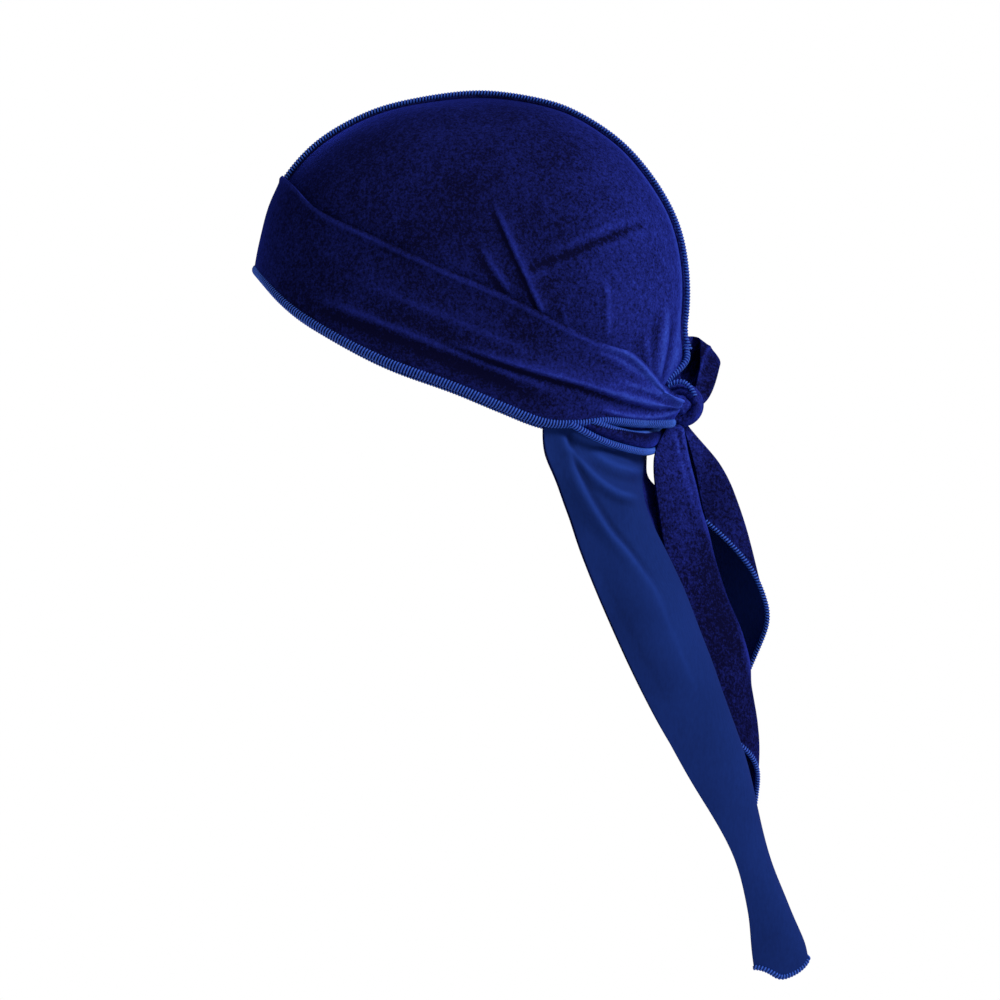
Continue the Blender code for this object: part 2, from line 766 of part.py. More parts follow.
build_crown(1, "crown_left", velvet)
build_crown(-1, "crown_right", velvet)
build_seam(overlock)
build_fork(overlock)
build_hem(overlock)
build_band(velvet)
build_rolls(velvet)
build_knot(velvet)
build_loop(velvet)
build_tie("tie_near", NEAR_TIE, NEAR_TIE_LENGTH, NEAR_TIE_CUT, velvet, overlock)
build_tie("tie_far", FAR_TIE, FAR_TIE_LENGTH, FAR_TIE_CUT, velvet, overlock)
build_cape(wrong_side, overlock)
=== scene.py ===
"""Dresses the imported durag: napped velvet, knitted wrong side, overlock thread, folds and pleats.

The surfaces repeat those of the durag's solids, finer, and add the folds that the photograph shows.
Lengths are in metres, +Z is up and the brow is towards -Y.
"""
import math
from bisect import bisect_right
from collections import namedtuple

import bmesh
import bpy
import numpy as np
from bpy.props import FloatProperty, FloatVectorProperty, IntProperty, PointerProperty
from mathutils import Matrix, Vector, noise


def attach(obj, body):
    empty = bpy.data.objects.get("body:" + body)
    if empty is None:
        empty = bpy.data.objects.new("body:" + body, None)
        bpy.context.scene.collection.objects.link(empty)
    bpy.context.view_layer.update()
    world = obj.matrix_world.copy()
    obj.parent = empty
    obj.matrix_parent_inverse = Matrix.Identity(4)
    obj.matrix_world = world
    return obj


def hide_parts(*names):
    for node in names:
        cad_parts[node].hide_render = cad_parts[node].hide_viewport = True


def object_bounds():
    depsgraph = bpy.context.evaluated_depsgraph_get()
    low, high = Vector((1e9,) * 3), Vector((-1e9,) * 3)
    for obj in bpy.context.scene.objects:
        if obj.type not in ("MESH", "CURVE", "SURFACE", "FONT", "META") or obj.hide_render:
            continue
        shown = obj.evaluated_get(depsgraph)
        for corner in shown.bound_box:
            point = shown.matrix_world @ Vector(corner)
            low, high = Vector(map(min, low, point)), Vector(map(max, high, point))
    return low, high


bl_info = {
    "name": "Durag dresser",
    "version": (1, 0, 0),
    "blender": (4, 5, 0),
    "location": "View3D > Sidebar > Durag",
    "description": "Dresses the durag's solids in velvet, knit and overlock thread",
    "category": "Object",
}

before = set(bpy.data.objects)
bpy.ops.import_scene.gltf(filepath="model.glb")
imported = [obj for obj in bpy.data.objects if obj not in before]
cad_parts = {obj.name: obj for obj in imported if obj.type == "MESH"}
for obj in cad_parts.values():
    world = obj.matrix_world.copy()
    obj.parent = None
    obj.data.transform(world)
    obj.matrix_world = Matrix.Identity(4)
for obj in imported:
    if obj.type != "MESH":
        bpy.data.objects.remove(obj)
cad_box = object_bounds()
BODY = "root"
MM = 0.001

# Cloth and clearances
CLOTH = 0.0012
BAND_CLOTH = 0.0020
GAP = 0.0003
BAND_GAP = 0.0007
KNOT_GAP = 0.0009

# Crown
CROWN_LENGTH = 0.192
CROWN_BREADTH = 0.151
CROWN_HEIGHT = 0.160
CROWN_SQUARENESS = 2.25
SEAM_RADIUS = 0.00135
HEM_RADIUS = 0.0017
BAND_LIFT = 0.0065
BAND_LIFT_RUN = 0.12
FORK_RADIUS = 0.0012
FORK_LENGTH = 0.017
FORK_SPREAD = 0.010
FORK_CLEARANCE = 0.005
BULGE_HEIGHT = 0.006
BULGE_SPREAD = 0.008
BULGE_BREADTH = 1.4 * BULGE_SPREAD
SEAM_START_DROP = 0.0022
SEAM_END_DROP = 0.003
BAND_TUCK = 0.0006
BAND_LIP = 0.0010
BAND_LIP_SPREAD = 0.10
BAND_FOLD_SHARE = 0.5
# Painted light: the band is painted lighter towards the back
BAND_BACK_LIGHT = 0.7
BAND_BACK_LIGHT_START = 0.045
BAND_BACK_LIGHT_RUN = 0.040

# Beside the seam: the groove, the cloth that lies still, the painted highlight in a band beside the seam and
# the painted shade along it
GROOVE_PLACE = 0.0035
GROOVE_SPREAD = 0.0016
SEAM_STILL = 0.004
RIM_PLACE = 0.013
RIM_SPREAD = 0.005
RIM_HIGHLIGHT = 1.5
RIM_START = 0.020
RIM_RUN = 0.050
SEAM_SHADE_SPREAD = 0.006
SEAM_SHADE_TONE = 1.6

# Size of the cloth's soft unevenness on each sheet
CROWN_RIPPLE = 0.022
BAND_RIPPLE = 0.030
TIE_RIPPLE = 0.020
CAPE_RIPPLE = 0.035

# Knot and bow
KNOT_RADIUS = 0.0073
KNOT_STRAP = 0.0022
KNOT_HALF_WIDTH = 0.009
KNOT_CLEARANCE = 0.0012
STRAND_STEP = 0.0015
STRAND_EDGE_STEP = 0.002
STRAND_LOWEST = -0.140
STRAND_ASIDE = 0.005
STRAND_END_SHARE = 0.6
STRAND_THICKNESS = 0.8
STRAND_WIDTH = 1.1
STRAND_LOBES = 0.10
STRAND_TWIST = 7
WRAP_START = math.radians(125)
WRAP_END = math.radians(-110)
WRAP_TAPER = 0.25
WRAP_TUCK = math.radians(18)
WRAP_DEPTH = 0.0010
WRAP_HALF_THICKNESS = 0.0033
WRAP_CRUMPLE = 0.0004
WRAP_ASIDE = 0.0085
CORE_TAPER = 0.35
CORE_LOBES = 0.12
LOOP_LENGTH = 0.052
LOOP_BACK = 0.011
LOOP_WIDTH = 0.025
LOOP_RISE = 0.0195
LOOP_GATHER = 0.0012
LOOP_WAVES = 2
LOOP_SWELL = 0.62
LOOP_ROUNDING = 2.2
LOOP_RISE_RATE = 1.6
LOOP_LEAN = 0.009
LOOP_STANDOFF = 0.002
LOOP_ROOT = 0.0066
LOOP_START = math.radians(12)

# Tie ends
NEAR_TIE_LENGTH = 0.182
NEAR_TIE_CUT = 0.78
FAR_TIE_LENGTH = 0.1245
FAR_TIE_CUT = 0.345
TIE_SPREAD = 0.030
TIE_REACH = 0.045
TIE_TUCK = 0.0006
TIE_GATHER = 0.0013
TIE_WAVES = 2.5

# Cape
CAPE_LENGTH = 0.240
CAPE_REACH = 0.125
CAPE_HALF_WIDTH = 0.068
CAPE_CORNER = 0.0045
CAPE_CORNER_START = 0.6
CAPE_ROUND = 0.008
CAPE_ROUND_SHARE = 0.35
CAPE_ARCH = 0.004
CAPE_TUCK = 0.003
CAPE_TRIM = 0.0036
CAPE_LAG = 0.004
CAPE_LAG_START = 0.5
CAPE_LAG_RUN = 0.3
CAPE_LOBE = 0.5
CAPE_INSET = 0.0014
CAPE_HANG = -0.02
CAPE_FREE = 0.12
CAPE_FRONT = 0.58
PUFF_HEIGHT = 0.0100
PUFF_SPREAD = 0.020
PUFF_TOP = -0.164
PUFF_FOOT = -0.222
PUFF_TOP_SLOPE = 0.014
PUFF_FOOT_SLOPE = 0.016
CRIMP_HEIGHT = 0.0013
CRIMP_LENGTH = 0.0022
CRIMP_CENTRE = -0.190
CRIMP_SPREAD = (0.019, 0.021)
VELVET_CENTRE = -0.192
VELVET_SPREAD = (0.031, 0.029)
VELVET_FRONT = 0.070

Section = namedtuple("Section", "ring drop front back middle breadth")
Edge = namedtuple("Edge", "along band_top hem rim")
Crease = namedtuple("Crease", "along_a drop_a along_b drop_b height spread")
BandFold = namedtuple("BandFold", "turn_a across_a turn_b across_b height spread")
Level = namedtuple("Level", "down front back width valley")
CapeFold = namedtuple("CapeFold", "along_a down_a along_b down_b height spread")
TieRow = namedtuple("TieRow", "down near_x near_y spine_x spine_y far_x far_y")

# Crown sections from the top down: shares of the height, of the length and of the breadth
CROWN_SECTIONS = [
    Section(0, 0.000, 0.000, 0.000, 0.000, 0.000),
    Section(1, 0.022, 0.153, 0.141, 0.005, 0.146),
    Section(2, 0.064, 0.270, 0.234, 0.010, 0.252),
    Section(3, 0.148, 0.384, 0.333, 0.020, 0.364),
    Section(4, 0.270, 0.466, 0.414, 0.030, 0.444),
    Section(5, 0.401, 0.502, 0.462, 0.040, 0.483),
    Section(6, 0.570, 0.523, 0.476, 0.042, 0.500),
    Section(7, 0.739, 0.521, 0.453, 0.042, 0.490),
    Section(8, 0.864, 0.518, 0.417, 0.042, 0.474),
    Section(9, 1.000, 0.510, 0.396, 0.042, 0.450),
    Section(10, 1.110, 0.500, 0.385, 0.042, 0.430),
]

# The band's upper edge, the hem's lower edge and the panels' lower edge, from brow to nape:
# shares of the crown's length and height
EDGES = [
    Edge(-0.521, 0.183, 0.492, 0.487),
    Edge(-0.448, 0.233, 0.592, 0.587),
    Edge(-0.370, 0.326, 0.659, 0.654),
    Edge(-0.224, 0.413, 0.754, 0.749),
    Edge(-0.057, 0.506, 0.828, 0.823),
    Edge(0.047, 0.559, 0.880, 0.875),
    Edge(0.146, 0.618, 0.926, 0.921),
    Edge(0.219, 0.664, 0.930, 0.937),
    Edge(0.281, 0.698, 0.922, 0.956),
    Edge(0.344, 0.722, 0.926, 0.974),
    Edge(0.385, 0.770, 0.926, 0.984),
    Edge(0.427, 0.823, 0.906, 0.984),
    Edge(0.464, 0.842, 0.888, 0.975),
]

# Creases of the crown: ends as shares of the crown's length and height, height and spread of its length
CREASES = [
    Crease(0.035, 0.307, 0.150, 0.600, 0.0070, 0.016),
    Crease(0.100, 0.480, 0.430, 0.325, -0.0045, 0.018),
    Crease(0.275, 0.500, 0.300, 0.660, 0.0035, 0.018),
    Crease(0.405, 0.560, 0.385, 0.740, 0.0055, 0.016),
]

# Folds of the brow band: turn from the brow as a share of the half turn, place across the band
# from its upper edge, height and spread as shares of the crown's length
BAND_FOLDS = [
    BandFold(0.40, 0.66, 0.96, 0.70, 0.0090, 0.09),
    BandFold(0.72, 0.30, 0.96, 0.35, 0.0070, 0.10),
]

# Levels of the cape below the crown's edge: shares of its length, of its reach and of its half width
CAPE_LEVELS = [
    Level(0.00, 0.300, 0.590, 1.00, 0.00),
    Level(0.04, 0.305, 0.568, 0.98, 0.00),
    Level(0.07, 0.304, 0.558, 0.97, 0.00),
    Level(0.10, 0.303, 0.582, 0.96, 0.01),
    Level(0.14, 0.328, 0.610, 0.95, 0.02),
    Level(0.20, 0.366, 0.668, 0.93, 0.05),
    Level(0.31, 0.452, 0.760, 0.90, 0.10),
    Level(0.45, 0.575, 0.862, 0.85, 0.13),
    Level(0.60, 0.728, 0.960, 0.78, 0.12),
    Level(0.75, 0.895, 1.030, 0.68, 0.09),
    Level(0.86, 0.954, 1.112, 0.60, 0.06),
    Level(0.94, 0.970, 1.174, 0.54, 0.04),
    Level(0.97, 0.978, 1.160, 0.52, 0.03),
    Level(1.00, 0.984, 1.105, 0.50, 0.02),
]

# Folds of the cape in side view: ends as shares of its reach and length, height and spread of its reach
CAPE_FOLDS = [
    CapeFold(0.300, 0.00, 0.432, 0.16, 0.020, 0.050),
    CapeFold(0.432, 0.16, 0.655, 0.33, 0.020, 0.060),
    CapeFold(0.342, 0.03, 0.576, 0.12, 0.018, 0.045),
    CapeFold(0.612, 0.22, 0.810, 0.48, 0.014, 0.060),
]

# Levels of the near tie end: shares of its length, of the ties' spread and of their reach past the knot
NEAR_TIE = [
    TieRow(0.00, 0.34, -0.16, 0.22, -0.02, 0.10, 0.00),
    TieRow(0.08, 0.70, -0.30, 0.28, 0.08, 0.06, -0.10),
    TieRow(0.20, 0.92, -0.25, 0.36, 0.17, 0.06, -0.12),
    TieRow(0.36, 1.00, -0.12, 0.40, 0.34, 0.06, 0.02),
    TieRow(0.55, 1.00, 0.21, 0.42, 0.61, 0.06, 0.26),
    TieRow(0.75, 0.95, 0.51, 0.42, 0.77, 0.06, 0.50),
    TieRow(0.90, 0.90, 0.71, 0.40, 0.76, 0.06, 0.62),
    TieRow(1.00, 0.86, 0.74, 0.38, 0.79, 0.06, 0.68),
]

# Levels of the far tie end, in the same shares
FAR_TIE = [
    TieRow(0.00, -0.06, 0.00, -0.20, 0.05, -0.30, 0.00),
    TieRow(0.15, -0.06, 0.12, -0.34, 0.39, -0.70, 0.10),
    TieRow(0.35, -0.06, 0.25, -0.44, 0.63, -0.98, 0.18),
    TieRow(0.60, -0.06, 0.55, -0.50, 0.82, -1.10, 0.36),
    TieRow(0.72, -0.06, 0.66, -0.52, 0.89, -1.12, 0.46),
    TieRow(0.85, -0.06, 0.62, -0.52, 0.83, -1.12, 0.54),
    TieRow(1.00, -0.06, 0.58, -0.52, 0.72, -1.10, 0.60),
]

# Middle of the head that wears the crown
HEAD_MIDDLE = Vector((0, 0, -CROWN_HEIGHT / 2))

# Step for slopes along the crown, in turns and rings, and halvings of each search
NORMAL_STEP = 0.02
SEARCH_ROUNDS = 24


def read(rows, key, column, where):
    """Value of a column at a place along the key column, on a smooth curve through the rows."""
    keys = [getattr(row, key) for row in rows]
    values = [getattr(row, column) for row in rows]
    where = min(max(where, keys[0]), keys[-1])
    low = min(bisect_right(keys, where), len(keys) - 1) - 1

    def slope(index):
        before = max(index - 1, 0)
        after = min(index + 1, len(keys) - 1)
        return (values[after] - values[before]) / (keys[after] - keys[before])

    span = keys[low + 1] - keys[low]
    share = (where - keys[low]) / span
    ease = share * share * (3 - 2 * share)
    lift = share * (1 - share) * span
    return (values[low] * (1 - ease) + values[low + 1] * ease
            + lift * ((1 - share) * slope(low) - share * slope(low + 1)))


def smooth(share):
    """Soft step from 0 to 1."""
    share = min(max(share, 0.0), 1.0)
    return share * share * (3 - 2 * share)


def fade(share, rate):
    """Soft rise and fall at both ends of a line."""
    return smooth(rate * share) * smooth(rate * (1 - share))


def bell(distance, spread):
    """Soft bump of height 1."""
    return math.exp(-(distance / spread) ** 2)


def halfway(first, last, is_before):
    """Place where a test stops to hold between two ends."""
    for _ in range(SEARCH_ROUNDS):
        middle = (first + last) / 2
        if is_before(middle):
            first = middle
        else:
            last = middle
    return (first + last) / 2


def turned(count):
    """Angles of an even number of steps round a circle."""
    return [2 * math.pi * step / count for step in range(count)]


def nearest(place, start, end):
    """Distance from a place to a segment in side view, and the share of the way along it."""
    run = (end[0] - start[0], end[1] - start[1])
    offset = (place[0] - start[0], place[1] - start[1])
    share = (offset[0] * run[0] + offset[1] * run[1]) / (run[0] ** 2 + run[1] ** 2)
    share = min(max(share, 0.0), 1.0)
    return math.hypot(offset[0] - share * run[0], offset[1] - share * run[1]), share


def mirrored_sections():
    """The crown's sections with one more beyond the top, so that the top is rounded."""
    first = CROWN_SECTIONS[1]
    beyond = Section(-1, first.drop, -first.front, -first.back, -first.middle, -first.breadth)
    return [beyond] + CROWN_SECTIONS


SECTIONS = mirrored_sections()


def crown_base(turn, ring):
    """Point of the smooth crown's outer face: turn from the brow to the nape, ring from the top down."""
    power = 2 / CROWN_SQUARENESS
    front, back, middle = (CROWN_LENGTH * read(SECTIONS, "ring", column, ring)
                           for column in ("front", "back", "middle"))
    breadth = CROWN_BREADTH * read(SECTIONS, "ring", "breadth", ring)
    drop = CROWN_HEIGHT * read(SECTIONS, "ring", "drop", ring)
    ahead = math.cos(turn)
    aside = max(math.sin(turn), 0.0)
    if ahead > 0:
        along = middle - (front + middle) * ahead ** power
    else:
        along = middle + (back - middle) * (-ahead) ** power
    return Vector((breadth * aside ** power, along, CLOTH - drop))


def crown_normal(turn, ring):
    """Outward direction of the smooth crown."""
    step = NORMAL_STEP
    ring = max(ring, 2 * step)
    turn = min(max(turn, step), math.pi - step)
    around = crown_base(turn + step, ring) - crown_base(turn - step, ring)
    down = crown_base(turn, ring + step) - crown_base(turn, ring - step)
    normal = down.cross(around).normalized()
    if normal.dot(crown_base(turn, ring) - HEAD_MIDDLE) < 0:
        normal = -normal
    return normal


def edge_height(column, along):
    """Height of one of the edge lines at a place along the head."""
    return CLOTH - CROWN_HEIGHT * read(EDGES, "along", column, along / CROWN_LENGTH)


def edge_ring(turn, column):
    """Ring at which an edge line crosses the crown at a turn."""
    def is_above(ring):
        point = crown_base(turn, ring)
        return point.z > edge_height(column, point.y)

    return halfway(1.0, CROWN_SECTIONS[-1].ring, is_above)


def ring_above(turn, ring, distance):
    """Ring that lies a distance higher up the crown."""
    step = NORMAL_STEP
    length = (crown_base(turn, ring + step) - crown_base(turn, ring - step)).length / (2 * step)
    return ring - distance / length


def ring_at_height(turn, height):
    """Ring at which the smooth crown has a height at a turn."""
    return halfway(0.0, CROWN_SECTIONS[-1].ring, lambda ring: crown_base(turn, ring).z > height)


def find_knot():
    """Centre of the knot, just clear of the crown's back at the height where the band arrives."""
    nape = CROWN_LENGTH / 2
    height = (edge_height("band_top", nape) + edge_height("hem", nape)) / 2
    back = crown_base(math.pi, ring_at_height(math.pi, height)).y
    return Vector((0, back + KNOT_RADIUS + KNOT_STRAP + KNOT_CLEARANCE, height))


KNOT = find_knot()
FORK_HEIGHT = KNOT.z + KNOT_RADIUS + FORK_CLEARANCE + FORK_LENGTH


def crown_relief(point):
    """Height of the creases, and of the cloth that bulges over the knot, above the smooth crown."""
    clear = smooth((point.z - edge_height("band_top", point.y)) / BULGE_SPREAD)
    relief = 0.0
    for crease in CREASES:
        start = (CROWN_LENGTH * crease.along_a, CLOTH - CROWN_HEIGHT * crease.drop_a)
        end = (CROWN_LENGTH * crease.along_b, CLOTH - CROWN_HEIGHT * crease.drop_b)
        distance, share = nearest((point.y, point.z), start, end)
        relief += CROWN_LENGTH * crease.height * fade(share, 4) * bell(distance, CROWN_LENGTH * crease.spread)
    bulge = FORK_HEIGHT - BULGE_SPREAD
    if point.y > 0:
        relief += BULGE_HEIGHT * bell(point.x, BULGE_BREADTH) * bell(point.z - bulge, BULGE_SPREAD)
    return relief * clear


def crown_face(turn, ring, offset=0.0):
    """Point at an offset from the crown's outer face, on the wearer's left."""
    point = crown_base(turn, ring)
    return point + crown_normal(turn, ring) * (crown_relief(point) + offset)


def mirror(points):
    """The same points on the wearer's right."""
    return [Vector((-point.x, point.y, point.z)) for point in points]


def away_from_head(point):
    """Direction from the middle of the head."""
    return point - HEAD_MIDDLE


def turn_aside(aside, height):
    """Turn at which the crown's back is a distance from the middle at a height."""
    return halfway(math.pi, math.pi / 2, lambda turn: crown_base(turn, ring_at_height(turn, height)).x < aside)


def back_point(aside, height, offset):
    """Point over the crown's back at a distance from the middle and a height."""
    turn = turn_aside(aside, height)
    return crown_face(turn, ring_at_height(turn, height), offset)


BAND_END = turn_aside(KNOT_HALF_WIDTH + 2 * KNOT_GAP, KNOT.z)


def knot_lift(turn):
    """How far the band leaves the crown to reach the middle of the knot."""
    return BAND_LIFT * smooth(1 - (BAND_END - turn) / (BAND_LIFT_RUN * math.pi))


def face_both_sides(turn, ring, offset):
    """Point over the crown at a turn that is negative on the wearer's right."""
    point = crown_face(abs(turn), ring, offset)
    return Vector((math.copysign(1, turn) * point.x, point.y, point.z))


def band_relief(turn, across):
    """Height of the band's folds."""
    relief = 0.0
    share = abs(turn) / math.pi
    for fold in BAND_FOLDS:
        way = (share - fold.turn_a) / (fold.turn_b - fold.turn_a)
        place_across = fold.across_a + (fold.across_b - fold.across_a) * min(max(way, 0.0), 1.0)
        rise = smooth(3 * way)
        relief += CROWN_LENGTH * fold.height * rise * bell(across - place_across, fold.spread)
    return relief


def heading(line, index):
    """Direction along a line of points at one of them."""
    return (line[min(index + 1, len(line) - 1)] - line[max(index - 1, 0)]).normalized()


def hem_line(grid, distance, outward):
    """Line beyond a sheet's last row, in its plane and at the middle of its wall."""
    edge = grid[-1]
    before = grid[-2]
    line = []
    for index, point in enumerate(edge):
        along = heading(edge, index)
        down = point - before[index]
        beyond = (down - along * down.dot(along)).normalized()
        normal = along.cross(beyond)
        if normal.dot(outward(point)) < 0:
            normal = -normal
        line.append(point + beyond * distance - normal * CLOTH / 2)
    return line


def tie_point(rows, length, down, across):
    """Point of a folded tie end: down its length, across from the near edge by the spine to the far edge."""
    near, spine, far = (Vector((read(rows, "down", line + "_x", down), read(rows, "down", line + "_y", down)))
                        for line in ("near", "spine", "far"))
    reach = 2 * spine - (near + far) / 2
    aside, behind = (1 - across) ** 2 * near + 2 * across * (1 - across) * reach + across ** 2 * far
    top = KNOT_RADIUS + KNOT_STRAP - TIE_TUCK
    return Vector((TIE_SPREAD * aside, KNOT.y + TIE_REACH * behind, KNOT.z - top - length * down))


def cape_turn(share):
    """Turn at which a column of the cape hangs from the crown: 0 at the back, 1 behind the ear."""
    return math.pi * (1 - share * (1 - CAPE_FRONT))


def cape_top(share):
    """Point of the crown's lower edge above a column of the cape."""
    turn = cape_turn(share)
    return crown_face(turn, edge_ring(turn, "rim"), -CAPE_INSET)


CAPE_START = cape_top(0).z


def cape_relief(along, level):
    """Height of the cape's folds at a place in side view."""
    relief = 0.0
    slope = CAPE_LENGTH / CAPE_REACH
    for fold in CAPE_FOLDS:
        distance, share = nearest((along / CAPE_REACH, level * slope), (fold.along_a, fold.down_a * slope),
                                  (fold.along_b, fold.down_b * slope))
        relief += CAPE_REACH * fold.height * fade(share, 3) * bell(distance, fold.spread)
    return relief


def past_lobe(share):
    """Share of the way from the cape's lobe to its side edge."""
    return max(share - CAPE_LOBE, 0.0) / (1 - CAPE_LOBE)


def cape_end_rise(share):
    """Rise of the cape's rounded end above its lowest point."""
    past = past_lobe(share)
    inner = max(1 - past ** 2 / CAPE_ROUND_SHARE, 0.0)
    corner = smooth((past - CAPE_CORNER_START) / (1 - CAPE_CORNER_START))
    arch = CAPE_ARCH * smooth(1 - share / CAPE_LOBE)
    return arch + CAPE_ROUND * (1 - math.sqrt(1 - inner ** 2)) + CAPE_CORNER * corner


def cape_point(down, across):
    """Point of the cape, down and across from its edge on the right to the one on the left."""
    side = math.copysign(1, 2 * across - 1)
    share = abs(2 * across - 1)
    top = cape_top(share)
    lowest = top.z + CAPE_TUCK
    end = CAPE_START - CAPE_LENGTH + CAPE_TRIM + cape_end_rise(share)
    height = lowest + (end - lowest) * down
    level = min(max((CAPE_START - height) / CAPE_LENGTH, 0.0), 1.0)
    front, back, valley = (CAPE_REACH * read(CAPE_LEVELS, "down", column, level)
                           for column in ("front", "back", "valley"))
    half = CAPE_HALF_WIDTH * read(CAPE_LEVELS, "down", "width", level)
    if share > CAPE_LOBE:
        along = back - (back - front) * past_lobe(share) ** 2
    else:
        along = back - valley * smooth(1 - share / CAPE_LOBE)
    quarter = share * math.pi / 2
    outward = Vector((math.sin(quarter), math.cos(quarter), 0))
    free = Vector((half * math.sin(quarter), along, height)) + outward * cape_relief(along, level)
    hang = Vector((top.x, top.y, height))
    point = hang.lerp(free, smooth((level - CAPE_HANG) / (CAPE_FREE - CAPE_HANG)))
    point.x *= side
    if side < 0:
        point.y += CAPE_LAG * smooth((level - CAPE_LAG_START) / CAPE_LAG_RUN) * past_lobe(share) ** 2
    puff = smooth((PUFF_TOP - height) / PUFF_TOP_SLOPE) * smooth((height - PUFF_FOOT) / PUFF_FOOT_SLOPE)
    point.y += PUFF_HEIGHT * puff * bell(point.x, PUFF_SPREAD)
    return point


# Folds seen from the side: their stations as (along, up) in millimetres, the height and the width of the
# slope on the left of the line's direction and on its right, in millimetres, and the bare ends' shares
SideFold = namedtuple("SideFold", "stations height left right start end")

CROWN_FOLDS = [
    SideFold(((5, -45), (12, -62), (20, -80), (28, -98)), 1.5, 3.6, 0.9, 0.30, 0.02),
    SideFold(((0, -66), (6, -77), (15, -90)), 0.9, 2.6, 1.6, 0.35, 0.15),
    SideFold(((20, -79), (35, -73), (54, -65), (70, -58.5), (80, -56.5)), -0.7, 1.8, 1.8, 0.04, 0.20),
    SideFold(((24, -73), (40, -67), (58, -59), (74, -53)), 0.6, 3.0, 3.0, 0.35, 0.30),
    SideFold(((37, -92), (38.5, -103), (38, -112)), 0.5, 1.3, 1.2, 0.3, 0.2),
    SideFold(((54, -80), (56.5, -86), (57, -98), (57, -109)), 0.8, 1.4, 1.1, 0.3, 0.2),
    SideFold(((84, -90), (81, -112), (79, -127)), 1.2, 2.6, 2.0, 0.4, 0.1),
    SideFold(((74, -104), (75, -117), (76, -126)), 0.9, 2.2, 1.6, 0.4, 0.1),
    SideFold(((86, -96), (85.5, -110), (82, -126)), -0.9, 1.4, 1.4, 0.3, 0.1),
]

BAND_SIDE_FOLDS = [
    SideFold(((-22, -107), (9, -118), (27, -123.5), (45, -128.5), (54, -131.5), (72, -136.5), (81, -138),
              (90, -136.5)), 3.0, 7.0, 1.2, 0.30, 0.02),
    SideFold(((60, -127), (72, -130), (80, -132.5), (90, -135.5)), 1.0, 2.8, 1.3, 0.3, 0.02),
    SideFold(((-80, -87), (-52, -98), (-22, -110), (10, -123), (40, -135)), 0.9, 5.0, 2.6, 0.25, 0.25),
    SideFold(((-60, -80), (-30, -93), (5, -107), (35, -120)), 0.5, 7.0, 5.0, 0.3, 0.3),
    SideFold(((48, -138), (66, -142.5), (80, -142.5), (90, -139)), 1.2, 1.8, 1.2, 0.3, 0.02),
    SideFold(((46, -112), (58, -116.5), (70, -123), (82, -132)), 0.7, 3.4, 2.0, 0.35, 0.05),
    SideFold(((50, -109.5), (60, -112.5), (66, -115), (73, -121), (82, -131), (88, -136)),
             1.7, 1.3, 1.5, 0.2, 0.05),
    SideFold([(row.along * CROWN_LENGTH / MM, -row.band_top * CROWN_HEIGHT / MM - 0.6) for row in EDGES],
             0.7, 1.1, 1.2, 0.06, 0.02),
]

CAPE_SIDE_FOLDS = [
    SideFold(((36, -149), (40, -163), (45, -174), (51, -184.5), (58, -195), (65, -203.5), (75, -217),
              (84, -232)), 2.4, 1.5, 3.6, 0.05, 0.45),
    SideFold(((38, -155.5), (45, -164.5), (54, -173), (63, -178), (72, -179)), 2.0, 2.6, 1.5, 0.1, 0.2),
    SideFold(((48, -158), (60, -165), (74, -168)), 1.3, 3.5, 2.0, 0.25, 0.2),
    SideFold(((72, -207), (85, -238), (99, -272)), 0.7, 9.0, 9.0, 0.35, 0.35),
    SideFold(((50, -202), (64, -232), (80, -262), (92, -290)), -0.25, 5.0, 7.0, 0.3, 0.35),
]

NEAR_TIE_FOLDS = [
    SideFold(((90, -146), (94, -166), (99, -187), (107, -211), (115, -234), (122, -264)),
             1.5, 0.9, 1.9, 0.02, 0.10),
    SideFold(((87, -148), (90.5, -164), (94.5, -180), (99, -196)), 0.8, 1.2, 1.6, 0.05, 0.4),
]

BOW_FOLDS = [
    SideFold(((105, -109), (102, -114), (99.5, -121), (95, -131)), 0.9, 1.1, 0.9, 0.10, 0.10),
    SideFold(((101, -106), (97, -114), (92, -124)), -0.7, 1.6, 1.6, 0.3, 0.2),
]

# Overlocked edges: half their width and height, and how far a flange of velvet reaches below them
Edging = namedtuple("Edging", "half_width half_height flange")
SEAM_EDGING = Edging(0.0014, 0.0010, 0.0012)
FORK_EDGING = Edging(0.0013, FORK_RADIUS, 0.0)
HEM_EDGING = Edging(0.0019, 0.0013, 0.0)
WRAP_EDGING = Edging(0.0010, 0.0009, 0.0)
TIE_EDGING = Edging(0.0013, 0.0009, 0.0)
CAPE_EDGING = Edging(0.0014, 0.0010, 0.0)
EDGING_GAP = 0.0005

# Rounding of a sheet's cut edges: a share of its thickness, and the least angle that is rounded
ROUNDING_SHARE = 0.42
ROUNDED_ANGLE = math.radians(62)

# Painted light on a fold: its broad and its fine painted highlight, its line of painted shade and the most that
# it counts
RIDGE_HIGHLIGHT = 0.5
RIDGE_SHARE = 0.6
EDGE_HIGHLIGHT = 0.7
EDGE_SPREAD = 0.0011
VALLEY_SHADE = 0.65
VALLEY_PLACE = 1.9
TONE_LIMIT = 1.4

# Mesh density before the subdivision surface, its levels, and faces round a strand, the knot and an edge
CROWN_TURNS = 60
CROWN_RINGS = 28
BAND_COLUMNS = 130
BAND_ROWS = 12
CAPE_COLUMNS = 60
CAPE_ROWS = 44
TIE_ROWS = 40
TIE_COLUMNS = 14
LOOP_ROWS = 60
LOOP_COLUMNS = 12
SEAM_STEPS = 40
HEM_STEPS = 120
FORK_STEPS = 10
WRAP_STEPS = 60
CORE_STEPS = 24
SUBDIVISIONS = 2
SIDE_LINE_POINTS = 40
STRAND_SIDES = 18
KNOT_SIDES = 32
EDGE_SIDES = 10
LOOP_TURN_STEPS = 10


def size_setting(name, description, default, lowest, highest):
    """Property for a size."""
    return FloatProperty(name=name, description=description, default=default, min=lowest, max=highest,
                         unit="LENGTH")


